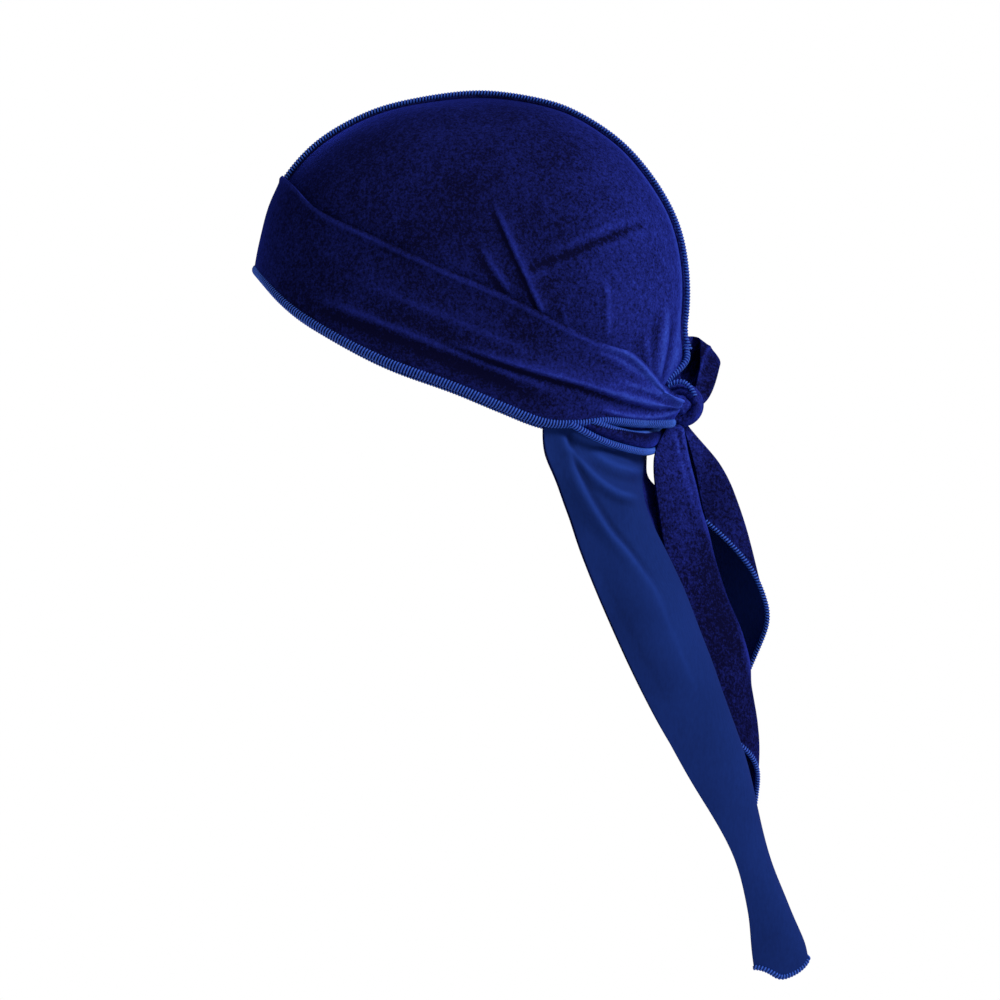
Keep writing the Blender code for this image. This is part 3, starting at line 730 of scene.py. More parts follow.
def power_setting(name, description, default):
    """Property for the power of a light."""
    return FloatProperty(name=name, description=description, default=default, min=0.0, max=500.0, unit="POWER")


def colour_setting(name, description, default):
    """Property for a colour."""
    return FloatVectorProperty(name=name, description=description, size=3, subtype="COLOR", default=default)


class DuragCloth(bpy.types.PropertyGroup):
    """Cloth walls and folds."""

    wall: size_setting("Wall", "Thickness of one layer of velvet", 0.0011, 0.0005, 0.003)
    band_wall: size_setting("Band wall", "Thickness of the folded tie on the brow", 0.0022, 0.001, 0.004)
    fold_gain: FloatProperty(name="Fold height",
                             description="Height of the fine folds, as a share of the photo's",
                             default=1.0, min=0.0, max=2.0, subtype="FACTOR")
    ripple: size_setting("Ripple", "Height of the cloth's soft unevenness", 0.0004, 0.0, 0.002)
    groove: size_setting("Seam groove", "Depth of the dip beside the centre seam", 0.0009, 0.0, 0.003)


class DuragThread(bpy.types.PropertyGroup):
    """Overlock thread."""

    radius: size_setting("Thread radius", "Radius of the overlock thread", 0.00036, 0.0001, 0.0006)
    pitch: size_setting("Stitch pitch", "Distance from one overlock loop to the next", 0.0014, 0.0006, 0.004)
    sides: IntProperty(name="Thread sides", description="Faces round the thread", default=5, min=3, max=8)


class DuragColours(bpy.types.PropertyGroup):
    """Colours of the cloths and of the thread."""

    # Ends of the velvet's blend: it holds the brushed nap's patches and also painted light, darker in front and
    # lighter towards the back, with painted highlights and shade on the folds
    velvet_dark: colour_setting("Velvet, nap away", "Velvet seen into its nap", (0.0034, 0.0034, 0.023))
    velvet_light: colour_setting("Velvet, nap towards", "Velvet seen along its nap", (0.0150, 0.0235, 0.225))
    # Painted highlight: the colour blended in where the painted tone is brightest, on fold edges and towards
    # the back
    velvet_highlight: colour_setting("Velvet, fold edges", "Velvet where a fold opens its nap", (0.045, 0.095, 0.60))
    sheen: colour_setting("Velvet sheen", "Colour of the light in the nap's tips", (0.016, 0.030, 0.34))
    knit: colour_setting("Wrong side", "Smooth knitted back of the velvet", (0.0080, 0.0250, 0.150))
    thread: colour_setting("Thread", "Overlock thread", (0.020, 0.085, 0.46))


class DuragStage(bpy.types.PropertyGroup):
    """Camera, light and floor."""

    view_distance: size_setting("View distance", "From the durag to the camera", 4.0, 1.0, 10.0)
    frame_size: size_setting("Frame", "What the picture spans at the durag", 0.450, 0.2, 1.0)
    floor_drop: size_setting("Floor drop", "Floor below the cape's end", 0.1, 0.0, 1.0)
    key_power: power_setting("Key light", "Power of the key light", 44.0)
    fill_power: power_setting("Fill light", "Power of the fill light", 8.0)


class Value:
    """A shader socket in an expression: each operator adds a Math node."""

    def __init__(self, tree, socket):
        self.tree = tree
        self.socket = socket

    def maths(self, operation, first, second=None, clamp=False):
        node = self.tree.nodes.new("ShaderNodeMath")
        node.operation = operation
        node.use_clamp = clamp
        for entry, value in zip(node.inputs, (first, second)):
            if isinstance(value, Value):
                self.tree.links.new(value.socket, entry)
            elif value is not None:
                entry.default_value = value
        return Value(self.tree, node.outputs[0])

    def __add__(self, other):
        return self.maths("ADD", self, other)

    def __radd__(self, other):
        return self.maths("ADD", other, self)

    def __sub__(self, other):
        return self.maths("SUBTRACT", self, other)

    def __rsub__(self, other):
        return self.maths("SUBTRACT", other, self)

    def __mul__(self, other):
        return self.maths("MULTIPLY", self, other)

    def __rmul__(self, other):
        return self.maths("MULTIPLY", other, self)

    def clamped(self):
        return self.maths("ADD", self, 0.0, clamp=True)


class Finish:
    """A material in the making, on its Principled BSDF."""

    def __init__(self, name, **constants):
        self.material = bpy.data.materials.new(name)
        self.material.use_nodes = True
        self.tree = self.material.node_tree
        self.shader = self.tree.nodes["Principled BSDF"]
        for label, value in constants.items():
            self.shader.inputs[label.replace("_", " ")].default_value = value

    def node(self, kind, output=0, settings=None, **inputs):
        """Add a node: its settings first, then the values or links of its sockets."""
        node = self.tree.nodes.new("ShaderNode" + kind)
        for label, value in (settings or {}).items():
            setattr(node, label, value)
        for label, value in inputs.items():
            entry = node.inputs[int(label[1:])] if label[1:].isdigit() else node.inputs[label.replace("_", " ")]
            if isinstance(value, Value):
                self.tree.links.new(value.socket, entry)
            else:
                entry.default_value = value
        return Value(self.tree, node.outputs[output])

    def place(self):
        """Object coordinates, in metres."""
        return self.node("TexCoord", output="Object")

    def noise(self, scale, detail=2.0, roughness=0.5, stretch=(1, 1, 1)):
        """Noise of a scale per metre."""
        where = self.node("Mapping", Vector=self.place(), Scale=stretch)
        return self.node("TexNoise", Vector=where, Scale=scale, Detail=detail, Roughness=roughness)

    def blend(self, factor, first, second):
        """Colour between two."""
        return self.node("Mix", output=2, settings={"data_type": "RGBA"}, _0=factor, _6=first, _7=second)

    def bump(self, height, distance, strength=1.0, under=None):
        extra = {} if under is None else {"Normal": under}
        return self.node("Bump", Height=height, Distance=distance, Strength=strength, **extra)

    def feed(self, label, value):
        self.tree.links.new(value.socket, self.shader.inputs[label])


def rgba(colour, shade=1.0):
    """A shade of the colour, with full opacity."""
    return (*(shade * part for part in colour), 1.0)


def velvet_finish(colours):
    """Short nap: dark and light patches where it is brushed, a fine mottle, a blue sheen, painted light that is
    darker in front and lighter towards the back, and painted highlights and shade on the folds.
    """
    made = Finish("velvet_nap", Roughness=0.75, Sheen_Weight=1.0, Sheen_Roughness=0.35,
                  Sheen_Tint=rgba(colours.sheen), Specular_IOR_Level=0.0)
    brushed = made.noise(22.0, detail=3.0, roughness=0.55)
    mottle = made.noise(300.0, detail=3.0, roughness=0.75)
    grain = made.noise(850.0, detail=2.0, roughness=0.75)
    depth = made.node("SeparateXYZ", output="Y", Vector=made.place())
    height = made.node("SeparateXYZ", output="Z", Vector=made.place())
    # Tone kept on the mesh: painted highlights and shade on folds, strands and seams, and tones added to whole
    # pieces
    fold = made.node("Attribute", output="Fac", settings={"attribute_name": "nap"})
    # Painted light: the velvet is painted dark in front and lighter towards the back, where the light falls,
    # less so below the crown and behind the knot; the painted highlights and shade of the folds are added to it
    reach = (depth * 11.0).clamped()
    below = ((height + 0.142) * -25.0).clamped()
    past = ((depth - 0.0925) * 90.0).clamped()
    painted_back_light = reach * reach * 0.72 * (1.0 - below * 0.5) * (1.0 - past * 0.6)
    speck = (mottle - 0.5) * 1.3 + (grain - 0.5) * 2.3
    nap = (brushed - 0.5) * 0.7 + painted_back_light + 0.16 + fold * 0.55 + speck * (painted_back_light + 0.55)
    body = made.blend(nap.clamped(), rgba(colours.velvet_dark), rgba(colours.velvet_light))
    # Painted highlight where the tone is brightest
    highlight_share = ((nap - 0.95) * 0.55).clamped()
    made.feed("Base Color", made.blend(highlight_share, body, rgba(colours.velvet_highlight)))
    made.feed("Roughness", 0.62 + mottle * 0.25)
    made.feed("Normal", made.bump(grain + mottle * 1.5, 0.0005, 0.55))
    return made.material


def knit_finish(colours):
    """Matte knitted back: fine wales down the cloth, soft unevenness, and the folds' painted highlights and
    shade.
    """
    made = Finish("knit_back", Roughness=0.85, Sheen_Weight=0.25, Sheen_Roughness=0.6,
                  Sheen_Tint=rgba(colours.sheen), Specular_IOR_Level=0.03)
    uneven = made.noise(22.0, detail=3.0)
    fuzz = made.noise(900.0, detail=2.0, roughness=0.7, stretch=(1, 1, 0.35))
    wales = made.node("TexWave", output="Fac", settings={"bands_direction": "X"},
                      Vector=made.place(), Scale=330.0, Distortion=1.2, Detail=1.0)
    fold = made.node("Attribute", output="Fac", settings={"attribute_name": "nap"})
    # Random unevenness and fuzz, with the folds' painted highlights and shade
    tone = (uneven * 0.55 + fuzz * 0.35 + fold * 0.35).clamped()
    made.feed("Base Color", made.blend(tone, rgba(colours.knit, 0.45), rgba(colours.knit, 1.5)))
    made.feed("Roughness", 0.8 + fuzz * 0.15)
    made.feed("Normal", made.bump(wales * 0.6 + fuzz, 0.0002, 0.35))
    return made.material


def thread_finish(colours):
    """Spun polyester thread with a faint twist."""
    made = Finish("overlock_thread", Roughness=0.55, Sheen_Weight=0.35, Sheen_Roughness=0.5,
                  Sheen_Tint=rgba(colours.sheen), Specular_IOR_Level=0.35)
    fibre = made.noise(2600.0, detail=1.0)
    tone = (fibre * 1.6 - 0.3).clamped()
    made.feed("Base Color", made.blend(tone, rgba(colours.thread, 0.65), rgba(colours.thread, 1.6)))
    made.feed("Normal", made.bump(fibre, 0.0002, 0.4))
    return made.material


finishes = {}


def finish_named(name):
    """A finish, made the first time that it is asked for."""
    makers = {"velvet": velvet_finish, "wrong_side": knit_finish, "overlock": thread_finish}
    if name not in finishes:
        finishes[name] = makers[name](bpy.context.scene.durag_colours)
    return finishes[name]


def new_piece(name, form, slots):
    """An object of a bmesh, in the scene, with its finishes."""
    mesh = bpy.data.meshes.new(name)
    form.to_mesh(mesh)
    form.free()
    piece = bpy.data.objects.new(name, mesh)
    bpy.context.scene.collection.objects.link(piece)
    for slot in slots:
        mesh.materials.append(finish_named(slot))
    mesh.shade_smooth()
    return piece


def apply(piece, kind, **settings):
    """Add a modifier with its settings and apply it."""
    modifier = piece.modifiers.new(kind.title(), kind)
    for label, value in settings.items():
        setattr(modifier, label, value)
    bpy.ops.object.select_all(action="DESELECT")
    piece.select_set(True)
    bpy.context.view_layer.objects.active = piece
    bpy.ops.object.modifier_apply(modifier=modifier.name)


def open_cloth(name, grid, slots, outward):
    """Sheet without a wall through a grid of points, smoothed by a subdivision surface."""
    form = bmesh.new()
    rows = [[form.verts.new(point) for point in line] for line in grid]
    for upper, lower in zip(rows, rows[1:]):
        for column in range(len(upper) - 1):
            form.faces.new((upper[column], upper[column + 1], lower[column + 1], lower[column]))
    bmesh.ops.remove_doubles(form, verts=form.verts, dist=0.00001)
    form.normal_update()
    middle = form.faces[:][len(form.faces) // 2]
    if middle.normal.dot(outward(middle.calc_center_median())) < 0:
        bmesh.ops.reverse_faces(form, faces=form.faces)
    piece = new_piece(name, form, slots)
    apply(piece, "SUBSURF", levels=SUBDIVISIONS, render_levels=SUBDIVISIONS, boundary_smooth="PRESERVE_CORNERS")
    return piece


def grid_of(rows, columns, place):
    """Rows of points from their shares down and across a sheet."""
    return [[place(row / rows, column / columns) for column in range(columns + 1)] for row in range(rows + 1)]


def coordinates(piece):
    """Vertex places and normals as arrays."""
    count = len(piece.data.vertices)
    places = np.empty(count * 3)
    normals = np.empty(count * 3)
    piece.data.vertices.foreach_get("co", places)
    piece.data.vertices.foreach_get("normal", normals)
    return places.reshape(-1, 3), normals.reshape(-1, 3)


def raise_cloth(piece, heights):
    """Move each vertex along its normal."""
    places, normals = coordinates(piece)
    places += normals * heights[:, None]
    piece.data.vertices.foreach_set("co", places.ravel())
    piece.data.update()


def wall(piece, thickness):
    """Give a sheet its wall, inward, and round its cut edges. A second finish is the inner side's."""
    apply(piece, "SOLIDIFY", thickness=thickness, offset=-1, use_even_offset=True,
          use_quality_normals=True, thickness_clamp=0.9, material_offset=1)
    apply(piece, "BEVEL", width=thickness * ROUNDING_SHARE, segments=2, limit_method="ANGLE",
          angle_limit=ROUNDED_ANGLE, harden_normals=False)
    piece.data.shade_smooth()


def smooth_array(share):
    """Soft steps from 0 to 1."""
    share = np.clip(share, 0.0, 1.0)
    return share * share * (3 - 2 * share)


def side_line(stations):
    """Smooth line through stations, in metres."""
    knots = np.array(stations, float) * MM
    spans = np.linalg.norm(np.diff(knots, axis=0), axis=1)
    keys = np.concatenate([[0.0], np.cumsum(spans)])
    Row = namedtuple("Row", "key along up")
    rows = [Row(key, *knot) for key, knot in zip(keys, knots)]
    where = np.linspace(0, keys[-1], SIDE_LINE_POINTS)
    return np.array([(read(rows, "key", "along", key), read(rows, "key", "up", key)) for key in where])


def fold_relief(places, folds):
    """Height of the folds at each place, as seen from the side, and the highlights and shade painted on them.
    """
    view = places[:, 1:3]
    heights = np.zeros(len(view))
    painted_light_tones = np.zeros(len(view))
    for fold in folds:
        line = side_line(fold.stations)
        best = np.full(len(view), 1e9)
        side = np.zeros(len(view))
        share = np.zeros(len(view))
        for index, (start, stop) in enumerate(zip(line, line[1:])):
            run = stop - start
            way = np.clip(((view - start) @ run) / (run @ run), 0.0, 1.0)
            gap = view - start - way[:, None] * run
            far = np.linalg.norm(gap, axis=1)
            nearer = far < best
            best[nearer] = far[nearer]
            side[nearer] = (run[0] * gap[:, 1] - run[1] * gap[:, 0])[nearer]
            share[nearer] = ((index + way) / (len(line) - 1))[nearer]
        width = np.where(side > 0, fold.left, fold.right) * MM
        narrow = min(fold.left, fold.right) * MM
        shaded = (side > 0) == (fold.left < fold.right)
        taper = np.ones(len(view))
        if fold.start > 0:
            taper *= smooth_array(share / fold.start)
        if fold.end > 0:
            taper *= smooth_array((1 - share) / fold.end)
        heights += fold.height * MM * taper * np.exp(-(best / width) ** 2)
        # Painted highlight along the fold's crest, and painted shade in a line beside it
        painted_highlight = (RIDGE_HIGHLIGHT * np.exp(-(best / (RIDGE_SHARE * width)) ** 2)
                 + EDGE_HIGHLIGHT * np.exp(-(best / EDGE_SPREAD) ** 2))
        valley = shaded * np.exp(-((best - VALLEY_PLACE * narrow) / narrow) ** 2)
        depth = math.copysign(min(abs(fold.height), TONE_LIMIT), fold.height)
        painted_light_tones += depth * taper * (painted_highlight - VALLEY_SHADE * valley)
    return heights * bpy.context.scene.durag_cloth.fold_gain, painted_light_tones


def store_painted_light(piece, painted_light_tones):
    """Keep the painted highlights and shade, and any tone added, on the cloth for its finish."""
    piece.data.attributes.new("nap", "FLOAT", "POINT").data.foreach_set("value", painted_light_tones)


def ripple_heights(places, size, seed):
    """Soft unevenness of the cloth, of a size in metres."""
    height = bpy.context.scene.durag_cloth.ripple
    return height * np.array([noise.noise(Vector(place) / size + Vector((seed, 0, 0))) for place in places])


def fold_cloth(piece, folds, raised=0.0, toned=0.0):
    """Raise a sheet's folds and other heights, and keep on it the folds' painted highlights and shade with any
    tone added.
    """
    heights, painted_light_tones = fold_relief(coordinates(piece)[0], folds)
    raise_cloth(piece, heights + raised)
    store_painted_light(piece, painted_light_tones + toned)


def take_place(piece, slot, *nodes):
    """The piece rides on the durag's body and stands for its solids, which are hidden; slot is not used."""
    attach(piece, BODY)
    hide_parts(*nodes)


def velvet_panel(side, name):
    """One side panel of the crown."""
    def place(down, across):
        turn = math.pi * across
        point = crown_face(turn, edge_ring(turn, "rim") * down)
        return Vector((side * point.x, point.y, point.z))

    piece = open_cloth(name, grid_of(CROWN_RINGS, CROWN_TURNS, place), ["velvet"], away_from_head)
    places, _ = coordinates(piece)
    cloth = bpy.context.scene.durag_cloth
    beside = np.abs(places[:, 0])
    groove = -cloth.groove * np.exp(-((beside - GROOVE_PLACE) / GROOVE_SPREAD) ** 2)
    inner = smooth_array(beside / SEAM_STILL)
    heights, painted_light_tones = fold_relief(places, CROWN_FOLDS)
    raise_cloth(piece, heights * inner + groove + ripple_heights(places, CROWN_RIPPLE, side) * inner)
    # Painted highlight in a band beside the seam towards the back, and painted shade along the seam
    behind = smooth_array((places[:, 1] - RIM_START) / RIM_RUN)
    rim = np.exp(-((beside - RIM_PLACE) / RIM_SPREAD) ** 2) * behind
    store_painted_light(piece, painted_light_tones + RIM_HIGHLIGHT * rim - SEAM_SHADE_TONE * np.exp(-(beside / SEAM_SHADE_SPREAD) ** 2))
    wall(piece, cloth.wall)
    return piece


class OBJECT_OT_durag_crown(bpy.types.Operator):
    """Make the two velvet side panels of the crown"""

    bl_idname = "object.durag_crown"
    bl_label = "Crown Panels"

    def execute(self, context):
        for side, word in ((1, "left"), (-1, "right")):
            piece = velvet_panel(side, f"velvet_panel_{word}")
            take_place(piece, "velvet", f"crown_{word}")
        return {"FINISHED"}


def path_frames(line, outward):
    """Tangent, outward and sideways directions along a line."""
    frames = []
    for index, point in enumerate(line):
        ahead = heading(line, index)
        out = outward(point)
        out = (out - ahead * out.dot(ahead)).normalized()
        frames.append((point, ahead, out, ahead.cross(out)))
    return frames


def even_line(points, step):
    """Points at an even step along a smooth curve through the given ones."""
    keys = [0.0]
    for first, second in zip(points, points[1:]):
        keys.append(keys[-1] + (second - first).length)
    Row = namedtuple("Row", "key x y z")
    rows = [Row(key, *point) for key, point in zip(keys, points)]
    count = max(int(keys[-1] / step), 2)
    return [Vector([read(rows, "key", axis, keys[-1] * index / count) for axis in "xyz"])
            for index in range(count + 1)]


def add_tube(form, rings, material=0):
    """Join rings of points into a closed tube."""
    loops = [[form.verts.new(point) for point in ring] for ring in rings]
    count = len(loops[0])
    corners = [list(reversed(loops[0])), loops[-1]]
    for first, second in zip(loops, loops[1:]):
        for index in range(count):
            after = (index + 1) % count
            corners.append((first[index], first[after], second[after], second[index]))
    for face in corners:
        form.faces.new(face).material_index = material


def add_overlock(form, points, outward, edging):
    """Flat rolled edge with overlock loops wound round it, on a flange where it has one."""
    thread = bpy.context.scene.durag_thread
    wide, high, flange = edging
    frames = path_frames(even_line(points, thread.pitch), outward)

    def core(width, height, drop):
        return [[point + side * width * math.cos(angle) + out * (height * math.sin(angle) - drop)
                 for angle in turned(EDGE_SIDES)] for point, _, out, side in frames]

    add_tube(form, core(wide, high, 0.0))
    if flange > 0:
        add_tube(form, core(0.7 * wide, flange, flange))
    centres = even_line(points, thread.pitch / LOOP_TURN_STEPS)
    loops = []
    for index, (point, _, out, side) in enumerate(path_frames(centres, outward)):
        angle = 2 * math.pi * index / LOOP_TURN_STEPS
        loops.append(point + side * wide * math.cos(angle) + out * high * math.sin(angle))
    rings = []
    for index, (point, centre) in enumerate(zip(loops, centres)):
        ahead = heading(loops, index)
        out = point - centre
        out = (out - ahead * out.dot(ahead)).normalized()
        side = ahead.cross(out)
        rings.append([point + thread.radius * (out * math.cos(angle) + side * math.sin(angle))
                      for angle in turned(thread.sides)])
    add_tube(form, rings, 1)


def overlocked_edge(name, node, points, outward, edging, core="velvet"):
    """Piece of its own for an overlocked edge."""
    form = bmesh.new()
    add_overlock(form, points, outward, edging)
    bmesh.ops.recalc_face_normals(form, faces=form.faces)
    piece = new_piece(name, form, [core, "overlock"])
    take_place(piece, "overlock", node)
    return piece


def seam_points():
    """Line of the centre seam."""
    offset = 2 * SEAM_RADIUS + GAP - SEAM_EDGING.half_height
    brow = ring_above(0, edge_ring(0, "band_top"), -SEAM_START_DROP)
    nape = ring_at_height(math.pi, FORK_HEIGHT - SEAM_END_DROP)
    front = [crown_face(0, brow * (1 - step / SEAM_STEPS), offset) for step in range(SEAM_STEPS)]
    back = [crown_face(math.pi, nape * step / SEAM_STEPS, offset) for step in range(SEAM_STEPS + 1)]
    return [Vector((0, point.y, point.z)) for point in front + back]


def fork_points():
    """Line of the inverted V."""
    apex = FORK_HEIGHT - SEAM_RADIUS - FORK_RADIUS - GAP
    left = []
    for step in range(FORK_STEPS):
        share = step / (FORK_STEPS - 1)
        aside = FORK_RADIUS + (FORK_SPREAD - FORK_RADIUS) * share
        left.append(back_point(aside, apex - FORK_LENGTH * share, GAP))
    return list(reversed(mirror(left))) + left


def hem_points():
    """Line of the crown's hem, from the knot's right round the brow to its left."""
    line = []
    for step in range(HEM_STEPS + 1):
        turn = BAND_END * (2 * step / HEM_STEPS - 1)
        ring = ring_above(abs(turn), edge_ring(abs(turn), "hem"), HEM_RADIUS)
        line.append(face_both_sides(turn, ring, GAP + HEM_RADIUS + knot_lift(abs(turn))))
    return line


class OBJECT_OT_durag_overlock(bpy.types.Operator):
    """Make the overlocked seam, its fork and the overlocked hem"""

    bl_idname = "object.durag_overlock"
    bl_label = "Crown Overlock"

    def execute(self, context):
        for name, node, points, edging in (("seam_overlock", "centre_seam", seam_points(), SEAM_EDGING),
                                           ("fork_overlock", "seam_fork", fork_points(), FORK_EDGING),
                                           ("hem_overlock", "crown_hem", hem_points(), HEM_EDGING)):
            overlocked_edge(name, node, points, away_from_head, edging)
        return {"FINISHED"}


def band_point(down, across):
    """Point of the brow band: down from its upper edge, across from the knot's right to its left."""
    turn = BAND_END * (2 * across - 1)
    upper = edge_ring(abs(turn), "band_top")
    lower = ring_above(abs(turn), edge_ring(abs(turn), "hem"), 2 * HEM_RADIUS - BAND_TUCK)
    offset = (BAND_GAP + BAND_CLOTH + BAND_LIP * bell(down, BAND_LIP_SPREAD)
              + BAND_FOLD_SHARE * band_relief(turn, down) + knot_lift(abs(turn)))
    return face_both_sides(turn, upper + (lower - upper) * down, offset)


class OBJECT_OT_durag_band(bpy.types.Operator):
    """Make the folded tie that runs round the brow"""

    bl_idname = "object.durag_band"
    bl_label = "Brow Band"

    def execute(self, context):
        grid = grid_of(BAND_ROWS, BAND_COLUMNS, band_point)
        piece = open_cloth("brow_band_cloth", grid, ["velvet"], away_from_head)
        places, _ = coordinates(piece)
        # Painted light: the band is painted lighter towards the back, with the folds' painted highlights and
        # shade
        fold_cloth(piece, BAND_SIDE_FOLDS, ripple_heights(places, BAND_RIPPLE, 3.0),
                   BAND_BACK_LIGHT * smooth_array((places[:, 1] - BAND_BACK_LIGHT_START) / BAND_BACK_LIGHT_RUN))
        wall(piece, context.scene.durag_cloth.band_wall)
        take_place(piece, "velvet", "brow_band")
        return {"FINISHED"}


# Strands between the band and the knot: stations seen from the side, radius and lift off the crown, in mm,
# and whether it is the tie's overlocked edge
Strand = namedtuple("Strand", "stations radius lift edge")

STRANDS = [
    Strand(((40, -146), (46, -149.5), (54, -153.5), (65, -157), (74, -158.5), (80, -156), (84.5, -150),
            (88, -143)),
           1.3, 3.0, True),
    Strand(((44, -145), (56, -149.5), (66, -152.5), (74, -153.5), (80, -151), (85, -146), (90, -139)),
           3.8, 0.0, False),
    Strand(((50, -145), (60, -148.5), (70, -150.5), (78, -149), (84, -144.5), (89, -139)), 1.0, 3.6, True),
    Strand(((54, -143.5), (64, -145.5), (74, -146), (82, -142.5), (89, -137.5)), 1.8, 1.6, False),
]

# Overlocked rim of the strap that is wound round the knot, seen from the side, in mm
WRAP_RIM = [(81.8, -130.6), (84.4, -128.8), (87.3, -127.2), (91, -127), (94.5, -129.5), (96.5, -133)]


def beside_nape(side, along, up, lift):
    """Point on the side of the crown's back, at millimetres along and up, lifted off the crown."""
    height = max(up * MM, STRAND_LOWEST)
    turn = halfway(0.45 * math.pi, math.pi,
                   lambda turn: crown_face(turn, ring_at_height(turn, height)).y < along * MM)
    point = crown_face(turn, ring_at_height(turn, height), GAP + lift)
    return Vector((side * max(point.x, STRAND_ASIDE), along * MM, up * MM))


def knot_piece(name, node, form, painted_light_tones=None):
    """Velvet piece of the knot, with its painted highlights and shade where it has them. What comes after them
    is thread.
    """
    bmesh.ops.recalc_face_normals(form, faces=form.faces)
    piece = new_piece(name, form, ["velvet", "overlock"] if painted_light_tones else ["velvet"])
    if painted_light_tones:
        store_painted_light(piece, painted_light_tones)
    take_place(piece, "velvet", node)


def rolled_strands(side, word):
    """The tie's lower strands on one side."""
    form = bmesh.new()
    painted_light_tones = []
    for strand in STRANDS:
        stations = [beside_nape(side, *station, strand.lift * MM) for station in strand.stations]
        if strand.edge:
            add_overlock(form, even_line(stations, STRAND_EDGE_STEP), away_from_head,
                         Edging(strand.radius * MM, strand.radius * MM, 0.0))
            # A lighter even tone on the overlocked edges
            painted_light_tones += [0.3] * (len(form.verts) - len(painted_light_tones))
            continue
        line = even_line(stations, STRAND_STEP)
        rings = []
        for index, (point, _, out, across) in enumerate(path_frames(line, away_from_head)):
            share = index / (len(line) - 1)
            swell = STRAND_END_SHARE + (1 - STRAND_END_SHARE) * math.sin(math.pi * share) ** 0.6
            radius = strand.radius * MM * swell
            ring = []
            for angle in turned(STRAND_SIDES):
                lobe = 1 + STRAND_LOBES * math.cos(3 * angle + STRAND_TWIST * share)
                ring.append(point + radius * lobe * (STRAND_THICKNESS * out * math.cos(angle)
                                                     + STRAND_WIDTH * across * math.sin(angle)))
            rings.append(ring)
        add_tube(form, rings)
        # Painted highlight on each strand's upper outer crest and painted shade underneath
        painted_light_tones += [1.2 * math.cos(angle - 0.5) - 1.0 for angle in turned(STRAND_SIDES)] * len(rings)
    knot_piece(f"rolled_strand_{word}", f"nape_roll_{word}", form, painted_light_tones)


def knot_strap():
    """The turn of the tie over the strands, with its overlocked rim."""
    form = bmesh.new()
    rings = []
    first = WRAP_START + WRAP_TUCK
    for step in range(WRAP_STEPS + 1):
        share = step / WRAP_STEPS
        angle = first + (WRAP_END - first) * share
        out = Vector((0, math.cos(angle), math.sin(angle)))
        width = KNOT_HALF_WIDTH * (1 - WRAP_TAPER * (1 - math.sin(math.pi * share)))
        rings.append([KNOT + Vector((width * math.sin(around), 0, 0))
                      + out * (KNOT_RADIUS - WRAP_DEPTH + WRAP_HALF_THICKNESS * math.cos(around)
                               + WRAP_CRUMPLE * math.sin(5 * math.sin(around) + 3 * share))
                      for around in turned(KNOT_SIDES)])
    add_tube(form, rings)
    # Painted highlight on the strap's outer face and painted shade on its inner face
    painted_light_tones = [0.9 * math.cos(angle) - 0.5 for angle in turned(KNOT_SIDES)] * len(rings)
    rim = even_line([Vector((WRAP_ASIDE, along * MM, up * MM)) for along, up in WRAP_RIM], STRAND_EDGE_STEP)
    add_overlock(form, rim, away_from_head, WRAP_EDGING)
    painted_light_tones += [0.2] * (len(form.verts) - len(painted_light_tones))
    knot_piece("knot_strap", "knot_wrap", form, painted_light_tones)


def knot_strands():
    """The strands inside the knot."""
    form = bmesh.new()
    inside = KNOT_RADIUS - KNOT_STRAP - GAP
    rings = []
    for step in range(CORE_STEPS + 1):
        share = 2 * step / CORE_STEPS - 1
        radius = inside * (1 - CORE_TAPER * abs(share) ** 3)
        ring = []
        for angle in turned(KNOT_SIDES):
            out = Vector((0, math.cos(angle), math.sin(angle)))
            ring.append(KNOT + Vector((KNOT_HALF_WIDTH * share, 0, 0)) + radius * out
                        + radius * CORE_LOBES * math.cos(4 * angle) * out)
        rings.append(ring)
    add_tube(form, rings)
    knot_piece("knot_strands", "knot_core", form)


class OBJECT_OT_durag_knot(bpy.types.Operator):
    """Make the knot and the rolled strands below the band"""

    bl_idname = "object.durag_knot"
    bl_label = "Knot"

    def execute(self, context):
        rolled_strands(1, "left")
        rolled_strands(-1, "right")
        knot_strap()
        knot_strands()
        return {"FINISHED"}


def loop_point(down, across):
    """Point of the half bow's ear: down its way out and back, across the tie's width."""
    root = (1 - math.cos(LOOP_START)) / 2
    angle = LOOP_START + (2 * math.pi - 2 * LOOP_START) * down
    out = (1 - math.cos(angle)) / 2
    off_middle = across - 0.5
    swell = math.sqrt(math.sin(math.pi * down)) * (LOOP_SWELL + (1 - LOOP_SWELL) * out)
    width = LOOP_ROOT + (LOOP_WIDTH - LOOP_ROOT) * swell
    aside = -(KNOT_HALF_WIDTH + KNOT_GAP) - LOOP_LENGTH * (out - root)
    behind = (LOOP_BACK * math.sin(angle) + LOOP_LEAN * out) * (1 - LOOP_ROUNDING * off_middle ** 2)
    gather = LOOP_GATHER * math.cos(2 * math.pi * LOOP_WAVES * off_middle) * (1 - out)
    rise = LOOP_RISE * smooth(LOOP_RISE_RATE * out)
    return KNOT + Vector((aside, LOOP_STANDOFF + behind + gather, rise + width * off_middle))


class OBJECT_OT_durag_bow(bpy.types.Operator):
    """Make the half bow's ear"""

    bl_idname = "object.durag_bow"
    bl_label = "Bow"

    def execute(self, context):
        hub = KNOT + Vector((-KNOT_HALF_WIDTH - LOOP_LENGTH / 2, LOOP_STANDOFF + LOOP_LEAN / 2, 0))
        piece = open_cloth("bow_ear", grid_of(LOOP_ROWS, LOOP_COLUMNS, loop_point), ["velvet"],
                           lambda point: (point - hub) * Vector((1, 1, 0)))
        fold_cloth(piece, BOW_FOLDS, toned=-0.55)
        wall(piece, context.scene.durag_cloth.wall)
        take_place(piece, "velvet", "bow_loop")
        return {"FINISHED"}


def backward(_):
    """Direction from the head to the ties."""
    return Vector((0, 1, 0))


